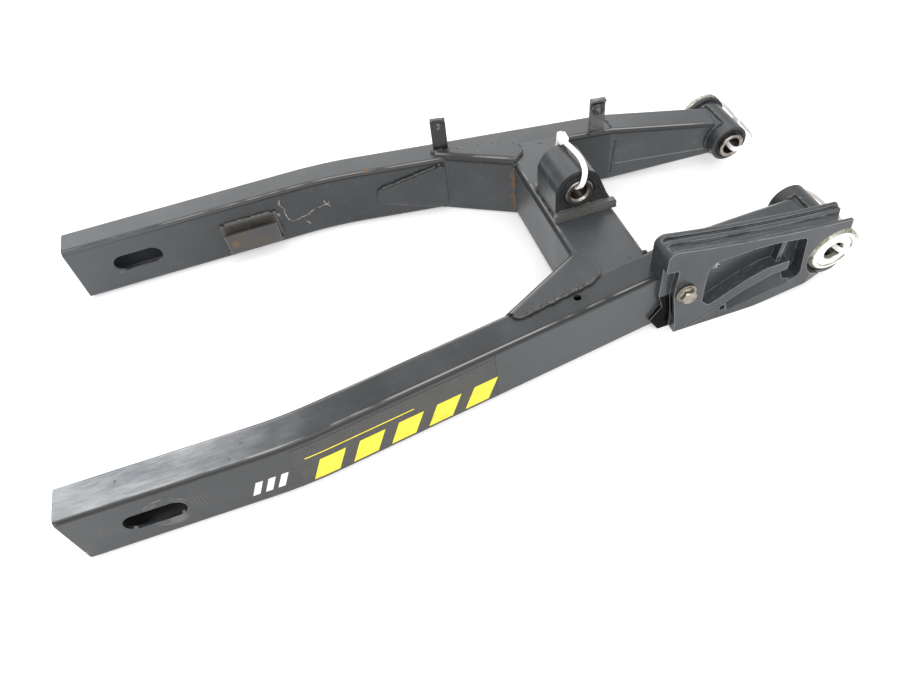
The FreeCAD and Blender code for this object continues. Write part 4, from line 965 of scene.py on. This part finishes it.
LINK_TIE = [(-156, 27, 58), (-156, 25, 63), (-155.5, 15, 66.3), (-153.7, 0, 66.6), (-154, -10, 66),
            (-155, -15.5, 62.5), (-157.3, -17.6, 56), (-159, -16.2, 51.3), (-159, -11, 49.3),
            (-158.5, 5, 48.8), (-158, 18, 49.3), (-157, 24.5, 51), (-156.5, 27.2, 54)]
LEFT_TIE = [(2, -99.5, 3), (10, -101, 4), (19, -97, 4), (20.5, -80, 4), (20, -62, 4), (18.5, -44, 4),
            (12, -33, 3), (3, -32, 2), (1, -45, 1), (0, -70, 1)]
RIGHT_TIE = [(0, 33, -1), (8, 29.5, 1), (17.5, 33, 3), (19.5, 48, 4), (20, 66, 4), (20, 84, 4), (12, 90, 4),
             (2, 89, 2), (0, 72, 0), (0, 50, 0)]


def lay_ties():
    material = glowing_nylon()
    leaning = Matrix.Rotation(math.radians(8), 4, "X")
    standing = Matrix.Rotation(math.radians(90), 4, "Y")
    for name, points, across, head, turn in (
            ("tie_link", LINK_TIE, (1, 0, 0), (-155.8, 20.5, 66.8), leaning),
            ("tie_left", LEFT_TIE, (0, 0, 1), (20.4, -78, 4), standing),
            ("tie_right", RIGHT_TIE, (0, 0, 1), (19.8, 60, 4), standing)):
        lay_tie(name, [spot(*place) for place in points], Vector(across), spot(*head), turn, material)


# Floor, lights and camera

def floor_finish():
    finish = Finish("floor_white")
    cloud = finish.noise(3.0, 4.0)
    finish.put(colour=finish.blend(cloud, grey(0.93), grey(0.90)), glow=0.3,
               roughness=finish.ramp(cloud, 0.3, 0.7, 0.55, 0.65))
    finish.shader.inputs["Emission Color"].default_value = grey(1.0)
    finish.bump(finish.noise(220.0), 0.00002)
    return finish.material


def set_stage():
    mesh = bmesh.new()
    bmesh.ops.create_grid(mesh, x_segments=2, y_segments=2, size=FLOOR_REACH)
    data = bpy.data.meshes.new("floor")
    mesh.to_mesh(data)
    mesh.free()
    floor = bpy.data.objects.new("floor", data)
    floor.location = (0, 0, FLOOR)
    data.materials.append(floor_finish())
    bpy.context.scene.collection.objects.link(floor)
    world = bpy.data.worlds.new("studio")
    world.use_nodes = True
    backdrop = world.node_tree.nodes["Background"]
    backdrop.inputs["Color"].default_value = (1.0, 1.0, 1.0, 1.0)
    backdrop.inputs["Strength"].default_value = BACKDROP_STRENGTH
    bpy.context.scene.world = world


def area_light(name, place, target, size, power):
    light = bpy.data.lights.new(name, "AREA")
    light.shape = "RECTANGLE"
    light.size, light.size_y = size
    light.energy = power
    holder = bpy.data.objects.new(name, light)
    holder.location = place
    holder.rotation_euler = (Vector(target) - Vector(place)).to_track_quat("-Z", "Y").to_euler()
    bpy.context.scene.collection.objects.link(holder)


def set_lights():
    middle = (-0.25, 0.0, 0.0)
    area_light("soft_top", (-0.3, 0.1, 1.9), middle, (2.6, 2.2), 10.0)
    area_light("soft_back", (-0.1, 2.2, 1.3), middle, (3.2, 1.6), 38.0)
    area_light("soft_front", (-0.5, -1.8, 1.5), middle, (2.4, 1.4), 34.0)


def set_camera():
    reach = math.cos(CAMERA_PITCH)
    forward = Vector((-math.sin(CAMERA_YAW) * reach, math.cos(CAMERA_YAW) * reach, -math.sin(CAMERA_PITCH)))
    level = Vector((math.cos(CAMERA_YAW), math.sin(CAMERA_YAW), 0.0))
    down = forward.cross(level)
    right = level * math.cos(CAMERA_ROLL) + down * math.sin(CAMERA_ROLL)
    up = level * math.sin(CAMERA_ROLL) - down * math.cos(CAMERA_ROLL)
    camera = bpy.data.cameras.new("studio_camera")
    camera.lens = CAMERA_LENS
    camera.sensor_width = CAMERA_SENSOR
    camera.clip_start = 0.01
    holder = bpy.data.objects.new("studio_camera", camera)
    turn = Matrix((right, up, -forward)).transposed().to_4x4()
    holder.matrix_world = Matrix.Translation(CAMERA_PLACE) @ turn
    bpy.context.scene.collection.objects.link(holder)
    bpy.context.scene.camera = holder


dress_frame()
lay_welds()
lay_stripes()
lay_ties()
set_stage()
set_lights()
set_camera()
bpy.context.scene.view_settings.view_transform = "Standard"
